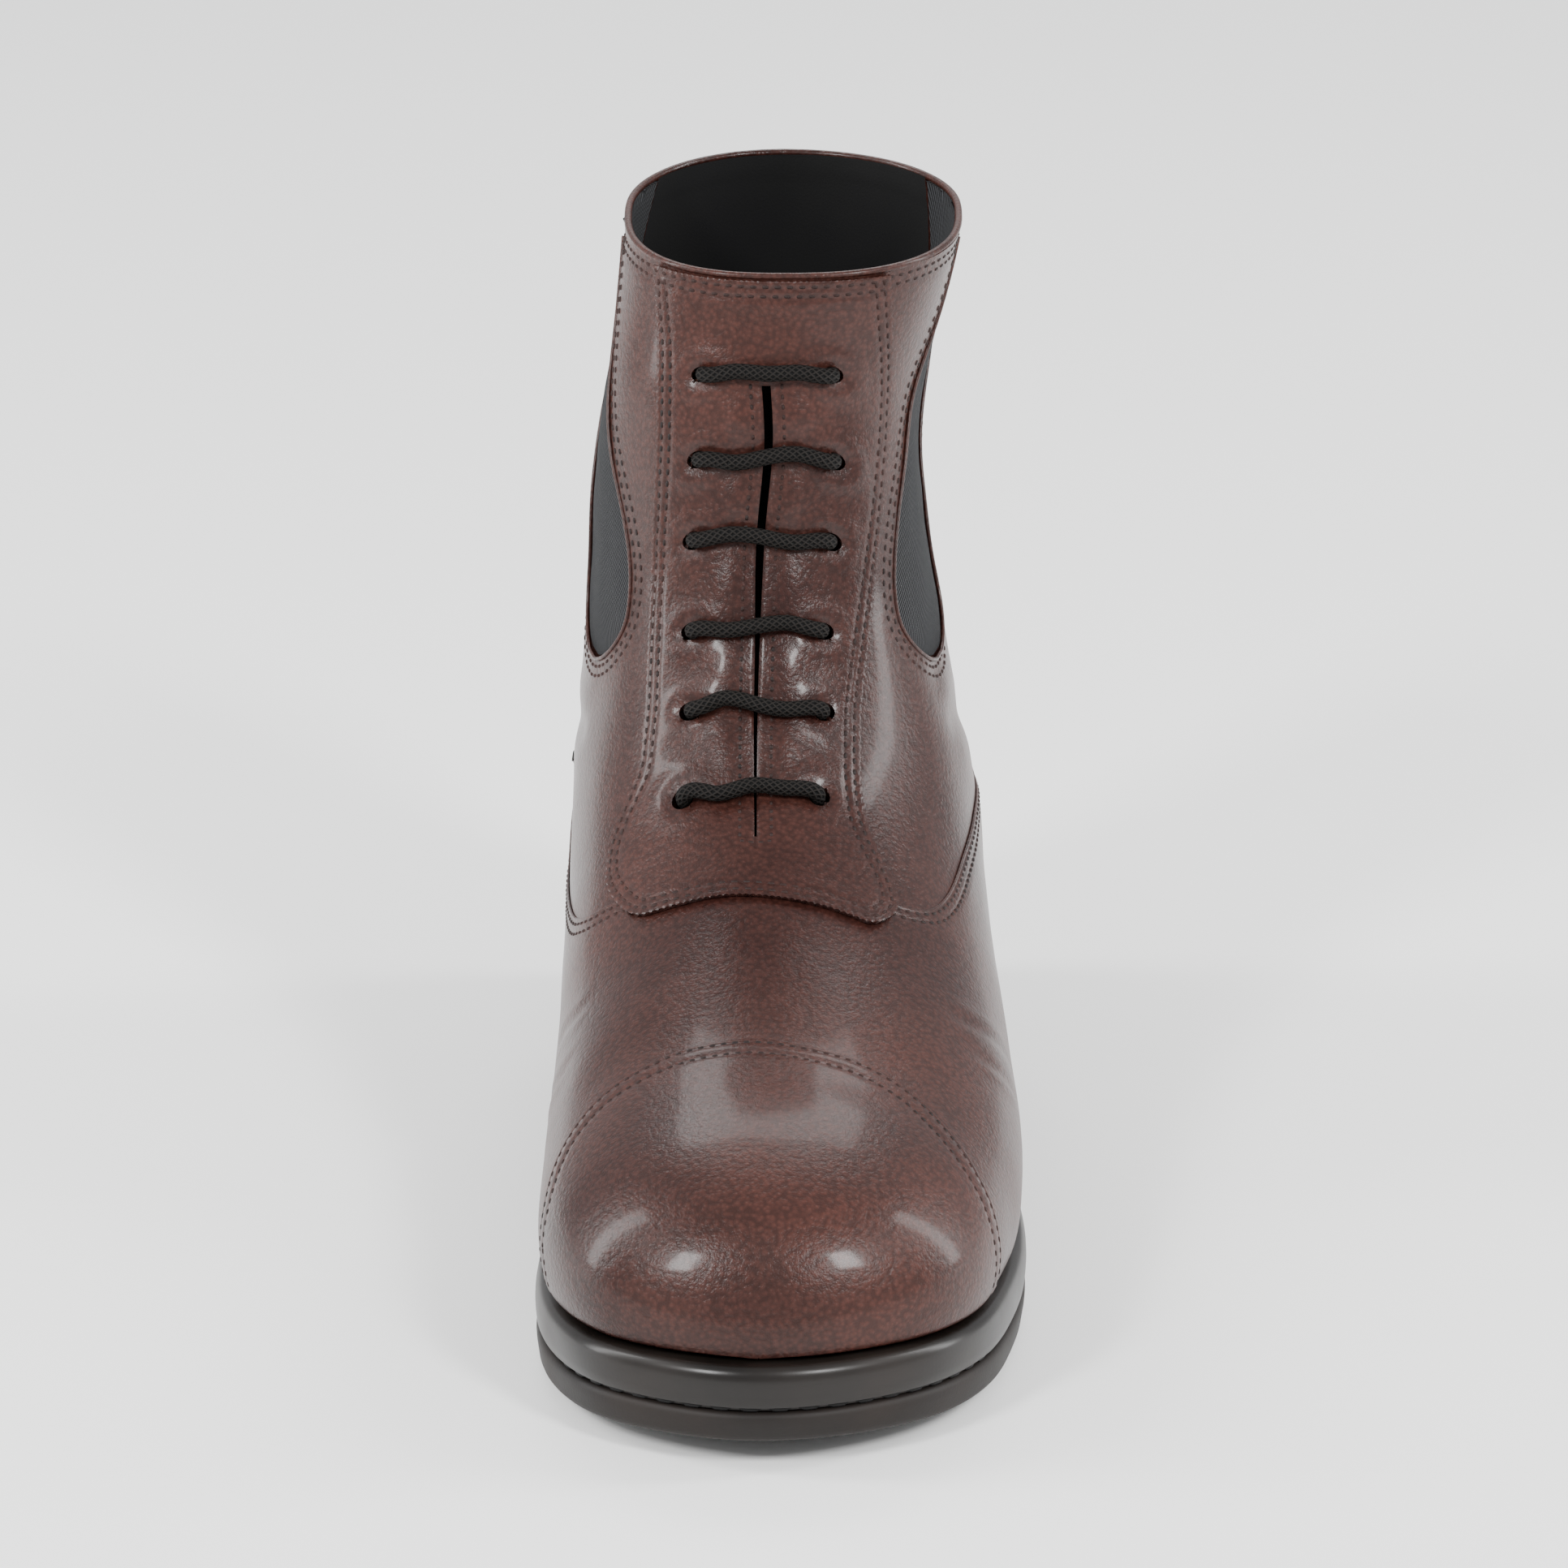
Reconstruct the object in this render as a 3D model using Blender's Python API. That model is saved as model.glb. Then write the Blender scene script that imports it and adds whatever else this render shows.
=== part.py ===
"""Left paddock boot, about EU 39, in lengths of one millimetre turned to metres at the end.

The boot stands on its sole with its toe towards -Y. X grows towards the outer (lateral) side of
the foot. Inside the script y is measured from the toe end of the sole and x from the boot's
own centre line, and place() moves a point to the middle of the boot's footprint.
"""
import math

import bmesh
import bpy
import numpy as np
from mathutils import Vector

MM = 0.001

# Driving sizes in millimetres
BOOT_LENGTH = 284.6
BALL_WIDTH = 104.6
COLLAR_HEIGHT = 206.0

# Sizes for which the station table is drawn, so that a new size grades it
TABLE_LENGTH = 284.6
TABLE_BALL = 104.6
TABLE_COLLAR = 206.0

# Middle of the footprint, from the centre line and the toe end. The spur rest overhangs the heel.
CENTRE_X = 1.95
BACK_OVERHANG = 1.3
CENTRE_Y = (BOOT_LENGTH + BACK_OVERHANG) / 2

# Leather, rubber and fit
GAP = 0.3
LINING_DEPTH = 1.5
VAMP_LIFT = 0.6
CAP_LIFT = 1.2
FACING_THICK = 1.2
FACING_SEAT = .4
GORE_THICK = 1.2
GORE_GAP = .5
GORE_SINK = .2
TONGUE_THICK = 1.2
SPUR_REST_SEAT = .6
INSOLE_THICK = 2.4
INSOLE_INSET = 4.2
INSOLE_SEAT = .5
MIDSOLE_THICK = 9.5
WELT_REACH = 4.8
TOE_REACH = 6.6

# Lace and slot
LACE_RADIUS = 1.75
LACE_SIDES = 8
LACE_GAP = .4
HOLE_RADIUS = 2.7
SLOT_WIDTH = 1.6

# Sections of the last, from the toe tip to the collar. Each runs from a back or bottom point to
# a front or top point in the plane of x = ridge, and bulges to the medial and lateral widths.
# widest is the share of the way up at which it is widest. low and top are the roundness of its
# lower and upper arcs. The ins are how far the lower edge is drawn in from the widest.
STATION_COLUMNS = ("back_y", "back_z", "front_y", "front_z", "medial", "lateral",
                   "medial_in", "lateral_in", "ridge", "widest", "low", "top")
STATIONS = (
    (7.0, 23.2, 7.0, 23.2, 0.0, 0.0, 0.0, 0.0, -2.5, .24, 2.0, 2.0),              # toe tip
    (10.3, 22.9, 10.3, 37.6, -19.2, 15.7, 2.0, 2.0, -2.5, .24, 2.0, 2.0),         # toe end
    (20.0, 22.0, 20.0, 48.8, -35.0, 32.5, 2.8, 2.8, -2.5, .24, 2.0, 2.05),        # toe
    (36.0, 20.4, 36.0, 56.2, -44.3, 43.5, 3.3, 3.2, -2.5, .24, 2.0, 2.1),         # toe cap
    (55.0, 18.6, 55.0, 60.7, -48.2, 48.6, 3.5, 3.2, -2.5, .24, 2.0, 2.1),         # toe joints
    (75.0, 17.3, 75.2, 65.2, -48.6, 51.6, 3.6, 3.2, -3.0, .24, 2.0, 2.05),        # cap edge
    (97.0, 17.2, 96.2, 72.4, -47.9, 52.4, 4.4, 3.4, -3.5, .26, 2.0, 2.0),         # ball
    (124.0, 19.5, 117.4, 81.0, -47.2, 50.9, 7.5, 4.5, -4.5, .28, 2.0, 2.0),       # vamp
    (155.0, 25.0, 133.9, 89.8, -46.6, 48.8, 11.5, 7.5, -5.5, .33, 1.95, 2.0),     # waist
    (192.0, 32.0, 146.5, 99.7, -45.7, 46.7, 14.5, 11.0, -6.0, .38, 1.9, 2.05),    # instep
    (232.0, 36.6, 155.8, 111.1, -45.7, 45.4, 14.0, 12.0, -5.5, .45, 1.6, 2.1),    # heel front
    (264.0, 37.7, 161.9, 122.3, -45.2, 42.8, 10.5, 10.5, -5.0, .50, 1.4, 2.15),   # heel
    (279.0, 38.0, 166.9, 134.0, -44.5, 40.4, 0.0, 0.0, -4.5, .52, 2.08, 2.2),     # seat
    (282.6, 57.0, 170.8, 146.6, -43.3, 38.2, 0.0, 0.0, -4.0, .53, 2.2, 2.2),      # counter
    (276.5, 80.0, 173.5, 159.2, -42.0, 35.0, 0.0, 0.0, -3.0, .53, 2.12, 2.25),    # ankle
    (267.5, 105.0, 175.7, 171.3, -41.2, 33.0, 0.0, 0.0, -2.0, .52, 1.95, 2.3),    # above ankle
    (263.5, 135.0, 177.5, 182.8, -39.2, 32.4, 0.0, 0.0, -1.0, .51, 2.05, 2.35),   # shaft
    (264.0, 170.0, 178.8, 192.9, -36.0, 36.6, 0.0, 0.0, 0.5, .50, 2.1, 2.4),      # upper shaft
    (267.0, 206.0, 179.5, 202.0, -33.6, 41.0, 0.0, 0.0, 1.5, .50, 2.2, 2.45),     # collar
)
SEAT_STATION = 12.0
HEEL_TURN_DEPTH = 38.0
SHAFT_TURN_DEPTH = 42.0
COLLAR_STATION = 18.0
HEEL_ROUNDNESS = 2.2
MIRRORED_STATIONS = 3

# Seams over the upper: the turn round the section, and the station where the seam crosses it
CAP_SEAM = (
    (-1.0, 3.55),
    (-.60, 3.6),
    (-.44, 3.8),
    (-.33, 4.5),
    (-.25, 4.78),
    (-.12, 4.95),
    (0.0, 5.0),
    (.12, 4.86),
    (.19, 4.62),
    (.26, 4.26),
    (.34, 3.88),
    (.45, 3.6),
    (1.0, 3.55),
)
VAMP_SEAM = (
    (-1.0, 14.25),
    (-.85, 13.3),
    (-.70, 12.1),
    (-.60, 10.9),
    (-.52, 9.85),
    (-.46, 9.0),
    (-.38, 8.25),
    (-.31, 7.9),
    (-.20, 7.6),
    (0.0, 7.5),
    (.20, 7.4),
    (.25, 7.6),
    (.30, 8.17),
    (.35, 8.92),
    (.41, 9.67),
    (.50, 10.7),
    (.60, 11.75),
    (.72, 12.7),
    (.85, 13.55),
    (1.0, 14.25),
)

# Facing, the panel that carries the lace: x of its two edges at each station
FACING_EDGES = (
    (6.90, -31.0, 23.0),
    (7.15, -33.8, 26.4),
    (7.50, -35.6, 25.4),
    (8.00, -35.4, 20.8),
    (8.40, -33.2, 18.9),
    (9.00, -28.9, 18.0),
    (10.0, -27.5, 18.0),
    (11.7, -27.0, 19.9),
    (13.2, -26.2, 22.0),
    (14.8, -25.3, 24.0),
    (16.4, -25.0, 25.0),
    (17.5, -25.8, 24.4),
)
FACING_FOOT = (
    (-36.0, 7.35),
    (-25.0, 7.10),
    (-12.0, 7.02),
    (0.0, 6.98),
    (12.0, 6.94),
    (27.0, 6.82),
)
FACING_TOP = 17.45

# Slot down the facing, from its lower to its upper end
SLOT_LINE = (
    (7.9, -4.1),
    (9.8, -4.2),
    (11.4, -3.8),
    (13.2, -2.9),
    (14.5, -1.5),
    (15.6, -2.0),
)

# Lace bars from the collar down: station, x of the two holes, and how far the bar waves up or
# down at a quarter of its way from each hole
LACE_BARS = (
    (15.88, -15.5, 12.1, .8, .6),
    (14.34, -16.4, 12.4, -1.4, 1.2),
    (12.96, -17.5, 11.5, .8, -1.2),
    (11.43, -17.7, 9.9, -1.0, 1.1),
    (10.02, -17.9, 10.2, 1.6, -.8),
    (8.68, -19.5, 9.3, -1.5, -.3),
)

# Tongue behind the slot: its lower and upper stations, and x of its two edges
TONGUE_STATIONS = (7.55, 16.9)
TONGUE_EDGES = (-24.5, 17.5)

# Elastic gores in side view: height over the floor, and y of the notch's front and back edges
GORE_FOOT_Z = 110.0
GORE_FOOT_RADIUS = 15.0
GORE_TOP_Z = 201.0
NOTCH_TOP_Z = 214.0
GORE_EDGES = (
    (110.0, 180.5, 211.0),
    (126.0, 181.0, 212.5),
    (142.0, 187.0, 217.5),
    (162.0, 197.5, 227.5),
    (185.0, 209.0, 239.5),
    (215.0, 221.4, 254.0),
)

# Tread line of the sole in side view
TREAD = (
    (0.0, 6.6),
    (12.0, 5.4),
    (30.0, 3.4),
    (50.0, 1.3),
    (66.0, .2),
    (72.0, 0.0),
    (104.0, 0.0),
    (112.0, .5),
    (130.0, 3.4),
    (155.0, 7.8),
    (192.0, 14.6),
    (232.0, 19.2),
    (264.0, 20.3),
    (284.6, 20.5),
)
HEEL_TAPER = 1.8
HEEL_STATIONS = (9.45, 9.7, 10.0, 10.4, 10.8, 11.15, 11.45, 11.7, 11.88, 11.97, 12.0)
SOLE_STATIONS = (0.0, .25, .5, .8, 1.2, 1.6, 2.0, 2.5, 3.0, 3.5, 4.0, 4.5, 4.86, 5.4, 6.0, 6.27,
                 6.6, 7.0, 7.5, 8.0, 8.5, 9.0) + HEEL_STATIONS
# Spur rest round the counter: turn from the side to the back, the station of its middle line,
# half its height in stations, and how far it stands out
SPUR_REST_LINE = (
    (.53, 11.0, .10, .5),
    (.62, 11.95, .17, .8),
    (.74, 12.65, .21, 1.3),
    (.87, 13.15, .21, 1.9),
    (1.0, 13.4, .20, 2.4),
)

# Grooves across the tread: y of each, how far they reach to each side, width and depth
FOREFOOT_GROOVES = (76.0, 84.0, 92.0, 100.0)
FOREFOOT_GROOVE_REACH = 34.0
HEEL_GROOVES = (226.0, 238.0, 250.0, 262.0)
HEEL_GROOVE_REACH = 18.0
HEEL_GROOVE_X = -1.0
LUG_GROOVE = 2.8
LUG_DEPTH = 1.5

# Rows of the upper's wall
UPPER_STATIONS = (0.0, .5, 1.0, 1.5, 2.0, 2.5, 3.1, 3.8, 4.5, 5.2, 6.0, 6.8, 7.5, 8.1, 8.7, 9.3,
                  9.9, 10.5, 11.0, 11.4, 11.7, 11.9, 12.0, 12.6, 13.3, 14.0, 15.0, 16.0, 17.0, 18.0)
UPPER_COLUMNS = 28
CLEAR_OF_SEAM = .22
LEVEL_STEP = .35

MEDIAL = -1
LATERAL = 1


class Spline:
    """Natural cubic spline through values at evenly numbered stations."""

    def __init__(self, knots, values):
        self.knots = np.asarray(knots, float)
        self.values = np.asarray(values, float)
        steps = np.diff(self.knots)
        count = len(self.knots)
        matrix = np.identity(count)
        right = np.zeros(count)
        for i in range(1, count - 1):
            before = steps[i - 1]
            after = steps[i]
            matrix[i, i - 1] = before
            matrix[i, i] = 2 * (before + after)
            matrix[i, i + 1] = after
            rise = (self.values[i + 1] - self.values[i]) / after
            fall = (self.values[i] - self.values[i - 1]) / before
            right[i] = 6 * (rise - fall)
        self.bends = np.linalg.solve(matrix, right)

    def __call__(self, at):
        at = np.asarray(at, float)
        i = np.clip(np.searchsorted(self.knots, at) - 1, 0, len(self.knots) - 2)
        step = self.knots[i + 1] - self.knots[i]
        a = (self.knots[i + 1] - at) / step
        b = (at - self.knots[i]) / step
        bent = (a ** 3 - a) * self.bends[i] + (b ** 3 - b) * self.bends[i + 1]
        return a * self.values[i] + b * self.values[i + 1] + bent * step * step / 6


def table_column(table, column):
    """One column of a table as a list."""
    return [row[column] for row in table]


def line_through(table, column, smooth=True):
    """Function of the table's first column that gives another column."""
    if smooth:
        return Spline(table_column(table, 0), table_column(table, column))
    return lambda at: np.interp(at, table_column(table, 0), table_column(table, column))


def ease(low, high, value):
    """Smooth rise from 0 at low to 1 at high."""
    share = np.clip((value - low) / (high - low), 0, 1)
    return share * share * (3 - 2 * share)


class Last:
    """The last's surface: a station along it, and a turn from -1 (medial edge) over 0 (ridge) to 1."""

    ODD_COLUMNS = ("tall_y", "tall_z", "medial", "lateral", "medial_in", "lateral_in")

    def __init__(self):
        table = np.array(STATIONS)
        column = dict(zip(STATION_COLUMNS, table.T))
        for name in ("back_y", "front_y"):
            column[name] = column[name] * BOOT_LENGTH / TABLE_LENGTH
        for name in ("back_z", "front_z"):
            column[name] = column[name] * COLLAR_HEIGHT / TABLE_COLLAR
        self.seat_heights = column["back_z"][int(SEAT_STATION) - 1:int(SEAT_STATION) + 1].copy()
        column["tall_y"] = column.pop("front_y") - column["back_y"]
        column["tall_z"] = column.pop("front_z") - column["back_z"]
        for name in ("medial", "lateral"):
            column[name] = (column[name] - column["ridge"]) * BALL_WIDTH / TABLE_BALL
            column[name][0] = 0
        knots = range(-MIRRORED_STATIONS, len(STATIONS))
        self.splines = {}
        for name, values in column.items():
            sign = -1 if name in self.ODD_COLUMNS else 1
            mirrored = sign * values[MIRRORED_STATIONS:0:-1]
            self.splines[name] = Spline(knots, np.concatenate([mirrored, values]))
        up_the_back = self.sizes(np.linspace(SEAT_STATION, COLLAR_STATION, 121))
        self.back_heights = up_the_back["back_z"]
        self.back_line = up_the_back["back_y"]

    def sizes(self, station):
        """Every size of a section. The seat is kept level up to where the counter rises from it."""
        size = {name: spline(station) for name, spline in self.splines.items()}
        level = np.interp(station, (SEAT_STATION - 1, SEAT_STATION), self.seat_heights)
        is_seat = (station > SEAT_STATION - 1) & (station < SEAT_STATION)
        raised = np.where(is_seat, level - size["back_z"], 0)
        size["back_z"] = size["back_z"] + raised
        size["tall_z"] = size["tall_z"] - raised
        return size

    def closing(self, y, z):
        """Share of the full width that is left where the plan outline turns round the back."""
        depth = HEEL_TURN_DEPTH + (SHAFT_TURN_DEPTH - HEEL_TURN_DEPTH) * ease(38, 57, z)
        back_y = np.interp(z, self.back_heights, self.back_line)
        behind = np.clip((y - back_y + depth) / depth, 0, 1)
        return np.sqrt(1 - behind ** HEEL_ROUNDNESS)

    def point(self, station, turn):
        station = np.asarray(station, float)
        turn = np.asarray(turn, float)
        size = self.sizes(station)
        width = np.where(turn < 0, size["medial"], size["lateral"])
        drawn_in = np.maximum(np.where(turn < 0, size["medial_in"], size["lateral_in"]), 0)
        edge = np.sign(turn) * np.maximum(np.abs(width) - drawn_in, 0)
        reach = np.abs(turn)
        over = np.clip((1 - reach / .5) * math.pi / 2, 0, math.pi / 2)
        under = np.clip((1 - reach) / .5 * math.pi / 2, 0, math.pi / 2)
        top = 2 / size["top"]
        low = 2 / size["low"]
        is_over = reach <= .5
        up_over = size["widest"] + (1 - size["widest"]) * np.sin(over) ** top
        up_under = size["widest"] * (1 - np.clip(np.cos(under), 0, 1) ** low)
        up = np.where(is_over, up_over, up_under)
        y = size["back_y"] + up * size["tall_y"]
        z = size["back_z"] + up * size["tall_z"]
        left = np.where((reach == 1) & (station >= SEAT_STATION), 0, self.closing(y, z))
        x_over = width * np.cos(over) ** top
        x_under = (edge + (width - edge) * np.sin(under) ** low) * left
        x = np.where(is_over, x_over, x_under) + size["ridge"]
        return np.stack([x, y, z], -1)

    def outward(self, station, turn):
        """Unit normal, taken a little inside the edges, where it is well defined."""
        s = np.maximum(np.asarray(station, float), .3)
        t = np.clip(np.asarray(turn, float), -.985, .985)
        along = self.point(s + .03, t) - self.point(s - .03, t)
        across = self.point(s, t + .012) - self.point(s, t - .012)
        normal = np.cross(across, along)
        return normal / np.linalg.norm(normal, axis=-1, keepdims=True)

    def surface(self, station, turn, lift=0.0):
        lift = np.asarray(lift, float)[..., None]
        return self.point(station, turn) + self.outward(station, turn) * lift

    def turn_at(self, station, x):
        """Turn at which the upper arc of a section has this x."""
        station = np.asarray(station, float)
        size = self.sizes(station)
        from_ridge = np.asarray(x, float) - size["ridge"]
        width = np.where(from_ridge < 0, size["medial"], size["lateral"])
        share = np.clip(from_ridge / width, 0, 1)
        over = np.arccos(share ** (size["top"] / 2))
        reach = .5 * (1 - over / (math.pi / 2))
        return np.where(from_ridge < 0, -reach, reach)

    def on_side(self, y, z, side):
        """Station and turn of the surface point that shows at y, z in the side view."""
        stations = np.linspace(9, 19, 60)
        turns = np.linspace(.12, .9, 50)
        grid_s, grid_t = np.meshgrid(stations, turns)
        seen = self.point(grid_s, side * grid_t)
        miss = (seen[..., 1] - y) ** 2 + (seen[..., 2] - z) ** 2
        nearest = np.unravel_index(np.argmin(miss), miss.shape)
        s = grid_s[nearest]
        t = grid_t[nearest]
        for _ in range(8):
            here = self.point(s, side * t)[1:]
            along = (self.point(s + .01, side * t)[1:] - here) / .01
            across = (self.point(s, side * (t + .002))[1:] - here) / .002
            step = np.linalg.solve(np.stack([along, across], -1), np.array([y, z]) - here)
            s = s + step[0]
            t = t + step[1]
        return s, side * t


LAST = Last()


def place(point):
    """Point of the boot's own frame, in millimetres, as a place in metres."""
    x, y, z = (float(value) for value in point)
    return Vector((x - CENTRE_X, y - CENTRE_Y, z)) * MM


def material(name, colour, roughness, metallic=0.0):
    made = bpy.data.materials.new(name)
    made.use_nodes = True
    shader = made.node_tree.nodes["Principled BSDF"]
    shader.inputs["Base Color"].default_value = (*colour, 1)
    shader.inputs["Roughness"].default_value = roughness
    shader.inputs["Metallic"].default_value = metallic
    made.diffuse_color = (*colour, 1)
    return made


def add_object(name, mesh_maker, finish=None, smooth_angle=math.radians(35)):
    """Object at the origin whose mesh is the bmesh, with outward faces."""
    mesh = bpy.data.meshes.new(name)
    bmesh.ops.recalc_face_normals(mesh_maker, faces=mesh_maker.faces[:])
    mesh_maker.to_mesh(mesh)
    mesh_maker.free()
    mesh.shade_smooth()
    mesh.set_sharp_from_angle(angle=smooth_angle)
    made = bpy.data.objects.new(name, mesh)
    bpy.context.scene.collection.objects.link(made)
    if finish:
        mesh.materials.append(finish)
    return made


def add_cutter(name, mesh_maker):
    cutter = add_object(name, mesh_maker)
    cutter.hide_render = True
    cutter.display_type = "WIRE"
    return cutter


def cut(target, cutter):
    boolean = target.modifiers.new(cutter.name, "BOOLEAN")
    boolean.operation = "DIFFERENCE"
    boolean.solver = "EXACT"
    boolean.object = cutter


def add_sheet(maker, stations, turns, inner, outer):
    """Closed sheet over a grid of places on the last, between two lifts."""
    rows, columns = np.shape(stations)
    sides = []
    for lift in (inner, outer):
        points = LAST.surface(stations, turns, np.broadcast_to(lift, np.shape(stations)))
        sides.append([[maker.verts.new(place(p)) for p in row] for row in points])
    low, high = sides
    for i in range(rows - 1):
        for j in range(columns - 1):
            for side in sides:
                maker.faces.new((side[i][j], side[i][j + 1], side[i + 1][j + 1], side[i + 1][j]))
    rim = [(0, j) for j in range(columns)]
    rim += [(i, columns - 1) for i in range(1, rows)]
    rim += [(rows - 1, j) for j in range(columns - 2, -1, -1)]
    rim += [(i, 0) for i in range(rows - 2, 0, -1)]
    for (i, j), (k, m) in zip(rim, rim[1:] + rim[:1]):
        maker.faces.new((low[i][j], low[k][m], high[k][m], high[i][j]))


def upper_lift(seam_part, station, turn):
    """Height of the leather over the last's surface, which fades out on the turned-in lower edge."""
    lift = {"cap": CAP_LIFT, "vamp": VAMP_LIFT, "quarter": 0.0}[seam_part]
    off_the_edge = 1 - ease(.74, .94, abs(turn))
    return lift * np.maximum(off_the_edge, ease(SEAT_STATION, SEAT_STATION + .8, station))


def wall_column(maker, turn, seams):
    """Vertices up one column of the wall, as (station, vertex) pairs, split at the seams."""
    if not seams:
        stations = np.array(UPPER_STATIONS)
        points = LAST.surface(stations, np.full(len(stations), turn), -LINING_DEPTH)
        return [[(s, maker.verts.new(place(p))) for s, p in zip(stations, points)]]
    crossings = [float(seam(turn)) for seam in seams]
    limits = [0.0] + crossings + [COLLAR_STATION]
    parts = []
    for name, start, end in zip(("cap", "vamp", "quarter"), limits, limits[1:]):
        inside = [s for s in UPPER_STATIONS if start + CLEAR_OF_SEAM < s < end - CLEAR_OF_SEAM]
        must_keep = [SEAT_STATION] if start < SEAT_STATION < end else []
        stations = sorted({start, end, *inside, *must_keep})
        lift = upper_lift(name, np.array(stations), turn)
        points = LAST.surface(np.array(stations), np.full(len(stations), turn), lift)
        parts.append([(s, maker.verts.new(place(p))) for s, p in zip(stations, points)])
    return parts


def zip_chains(maker, left, right):
    """Faces between two chains of (station, vertex), stepping up whichever lags behind."""
    i = 0
    j = 0
    while i < len(left) - 1 or j < len(right) - 1:
        next_left = left[i + 1][0] if i < len(left) - 1 else math.inf
        next_right = right[j + 1][0] if j < len(right) - 1 else math.inf
        both_left = max(next_left, next_right) < math.inf
        if both_left and abs(next_left - next_right) < LEVEL_STEP:
            corners = [left[i][1], left[i + 1][1], right[j + 1][1], right[j][1]]
            i += 1
            j += 1
        elif next_left < next_right:
            corners = [left[i][1], left[i + 1][1], right[j][1]]
            i += 1
        else:
            corners = [left[i][1], right[j + 1][1], right[j][1]]
            j += 1
        distinct = list(dict.fromkeys(corners))
        if len(distinct) > 2:
            maker.faces.new(distinct)


def wall_side(maker, seams):
    """One face of the upper's wall, open underneath and at the collar. Returns its edge columns."""
    turns = np.linspace(-1, 1, UPPER_COLUMNS + 1)
    columns = [wall_column(maker, turn, seams) for turn in turns]
    tip = columns[0][0][0][1]
    for column in columns:
        if column[0][0][1] is not tip:
            maker.verts.remove(column[0][0][1])
            column[0][0] = (0.0, tip)
    last_column = columns[-1]
    for part, first_part in zip(last_column, columns[0]):
        for k, (station, vertex) in enumerate(part):
            if station >= SEAT_STATION - 1e-6:
                maker.verts.remove(vertex)
                part[k] = first_part[k]
    for left, right in zip(columns, columns[1:]):
        for left_part, right_part in zip(left, right):
            zip_chains(maker, left_part, right_part)
        for k in range(len(left) - 1):
            step = [left[k][-1][1], left[k + 1][0][1], right[k + 1][0][1], right[k][-1][1]]
            maker.faces.new(step)
    return columns


def make_upper(finish):
    """Hollow upper: one wall whose outside steps down behind the toe cap and behind the vamp."""
    maker = bmesh.new()
    outside = wall_side(maker, (line_through(CAP_SEAM, 1, False), line_through(VAMP_SEAM, 1, False)))
    inside = wall_side(maker, ())
    inner_tip = inside[0][0][0][1]
    inner_tip.co = place(LAST.point(0.0, 0.0) + np.array([0, CAP_LIFT + LINING_DEPTH, 0]))
    for k in (0, -1):
        outer_edge = [pair for part in outside[k] for pair in part if pair[0] <= SEAT_STATION + 1e-6]
        inner_edge = [pair for pair in inside[k][0] if pair[0] <= SEAT_STATION + 1e-6]
        zip_chains(maker, outer_edge, inner_edge)
    for k in range(UPPER_COLUMNS):
        top = [outside[k][-1][-1][1], outside[k + 1][-1][-1][1]]
        top += [inside[k + 1][0][-1][1], inside[k][0][-1][1]]
        maker.faces.new(top)
    return add_object("upper", maker, finish)


def facing_grid(rows, columns, shrink=0.0):
    """Places of the facing, row by row from its foot to the collar."""
    medial_x = line_through(FACING_EDGES, 1, False)
    lateral_x = line_through(FACING_EDGES, 2, False)
    foot = line_through(FACING_FOOT, 1)
    stations = np.zeros((rows, columns))
    turns = np.zeros((rows, columns))
    for i, up in enumerate(np.linspace(0, 1, rows) ** 1.25):
        row_station = FACING_EDGES[0][0] + (FACING_TOP - FACING_EDGES[0][0]) * up
        left = float(medial_x(row_station)) + shrink
        right = float(lateral_x(row_station)) - shrink
        for j, x in enumerate(np.linspace(left, right, columns)):
            start = float(foot(x))
            stations[i, j] = start + (FACING_TOP - start) * up
            turns[i, j] = LAST.turn_at(stations[i, j], x)
    return stations, turns


def make_facing(finish, cutters):
    maker = bmesh.new()
    stations, turns = facing_grid(18, 13)
    seat = FACING_SEAT + VAMP_LIFT * (1 - ease(7.9, 8.5, stations))
    add_sheet(maker, stations, turns, seat, seat + FACING_THICK)
    facing = add_object("facing", maker, finish)
    for cutter in cutters:
        cut(facing, cutter)
    return facing


def slot_cutter():
    """Thin block along the slot, through the facing and the wall."""
    centre = line_through(SLOT_LINE, 1)
    rows = np.linspace(SLOT_LINE[0][0], SLOT_LINE[-1][0], 15)
    middle = centre(rows)
    stations = np.stack([rows, rows], -1)
    edges = np.stack([middle - SLOT_WIDTH / 2, middle + SLOT_WIDTH / 2], -1)
    maker = bmesh.new()
    add_sheet(maker, stations, LAST.turn_at(stations, edges), -5.0, 5.0)
    return add_cutter("slot_cutter", maker)


def lace_hole_cutter():
    """All lace holes, as round pegs square to the leather."""
    maker = bmesh.new()
    for station, medial_x, lateral_x, _, _ in LACE_BARS:
        for x in (medial_x, lateral_x):
            turn = LAST.turn_at(station, x)
            axis = LAST.outward(station, turn)
            middle = LAST.surface(station, turn, 0.0)
            turned = Vector(axis).to_track_quat("Z", "Y").to_matrix().to_4x4()
            turned.translation = place(middle)
            bmesh.ops.create_cone(maker, cap_ends=True, segments=10, radius1=HOLE_RADIUS * MM,
                                  radius2=HOLE_RADIUS * MM, depth=10 * MM, matrix=turned)
    return add_cutter("lace_hole_cutter", maker)


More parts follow.
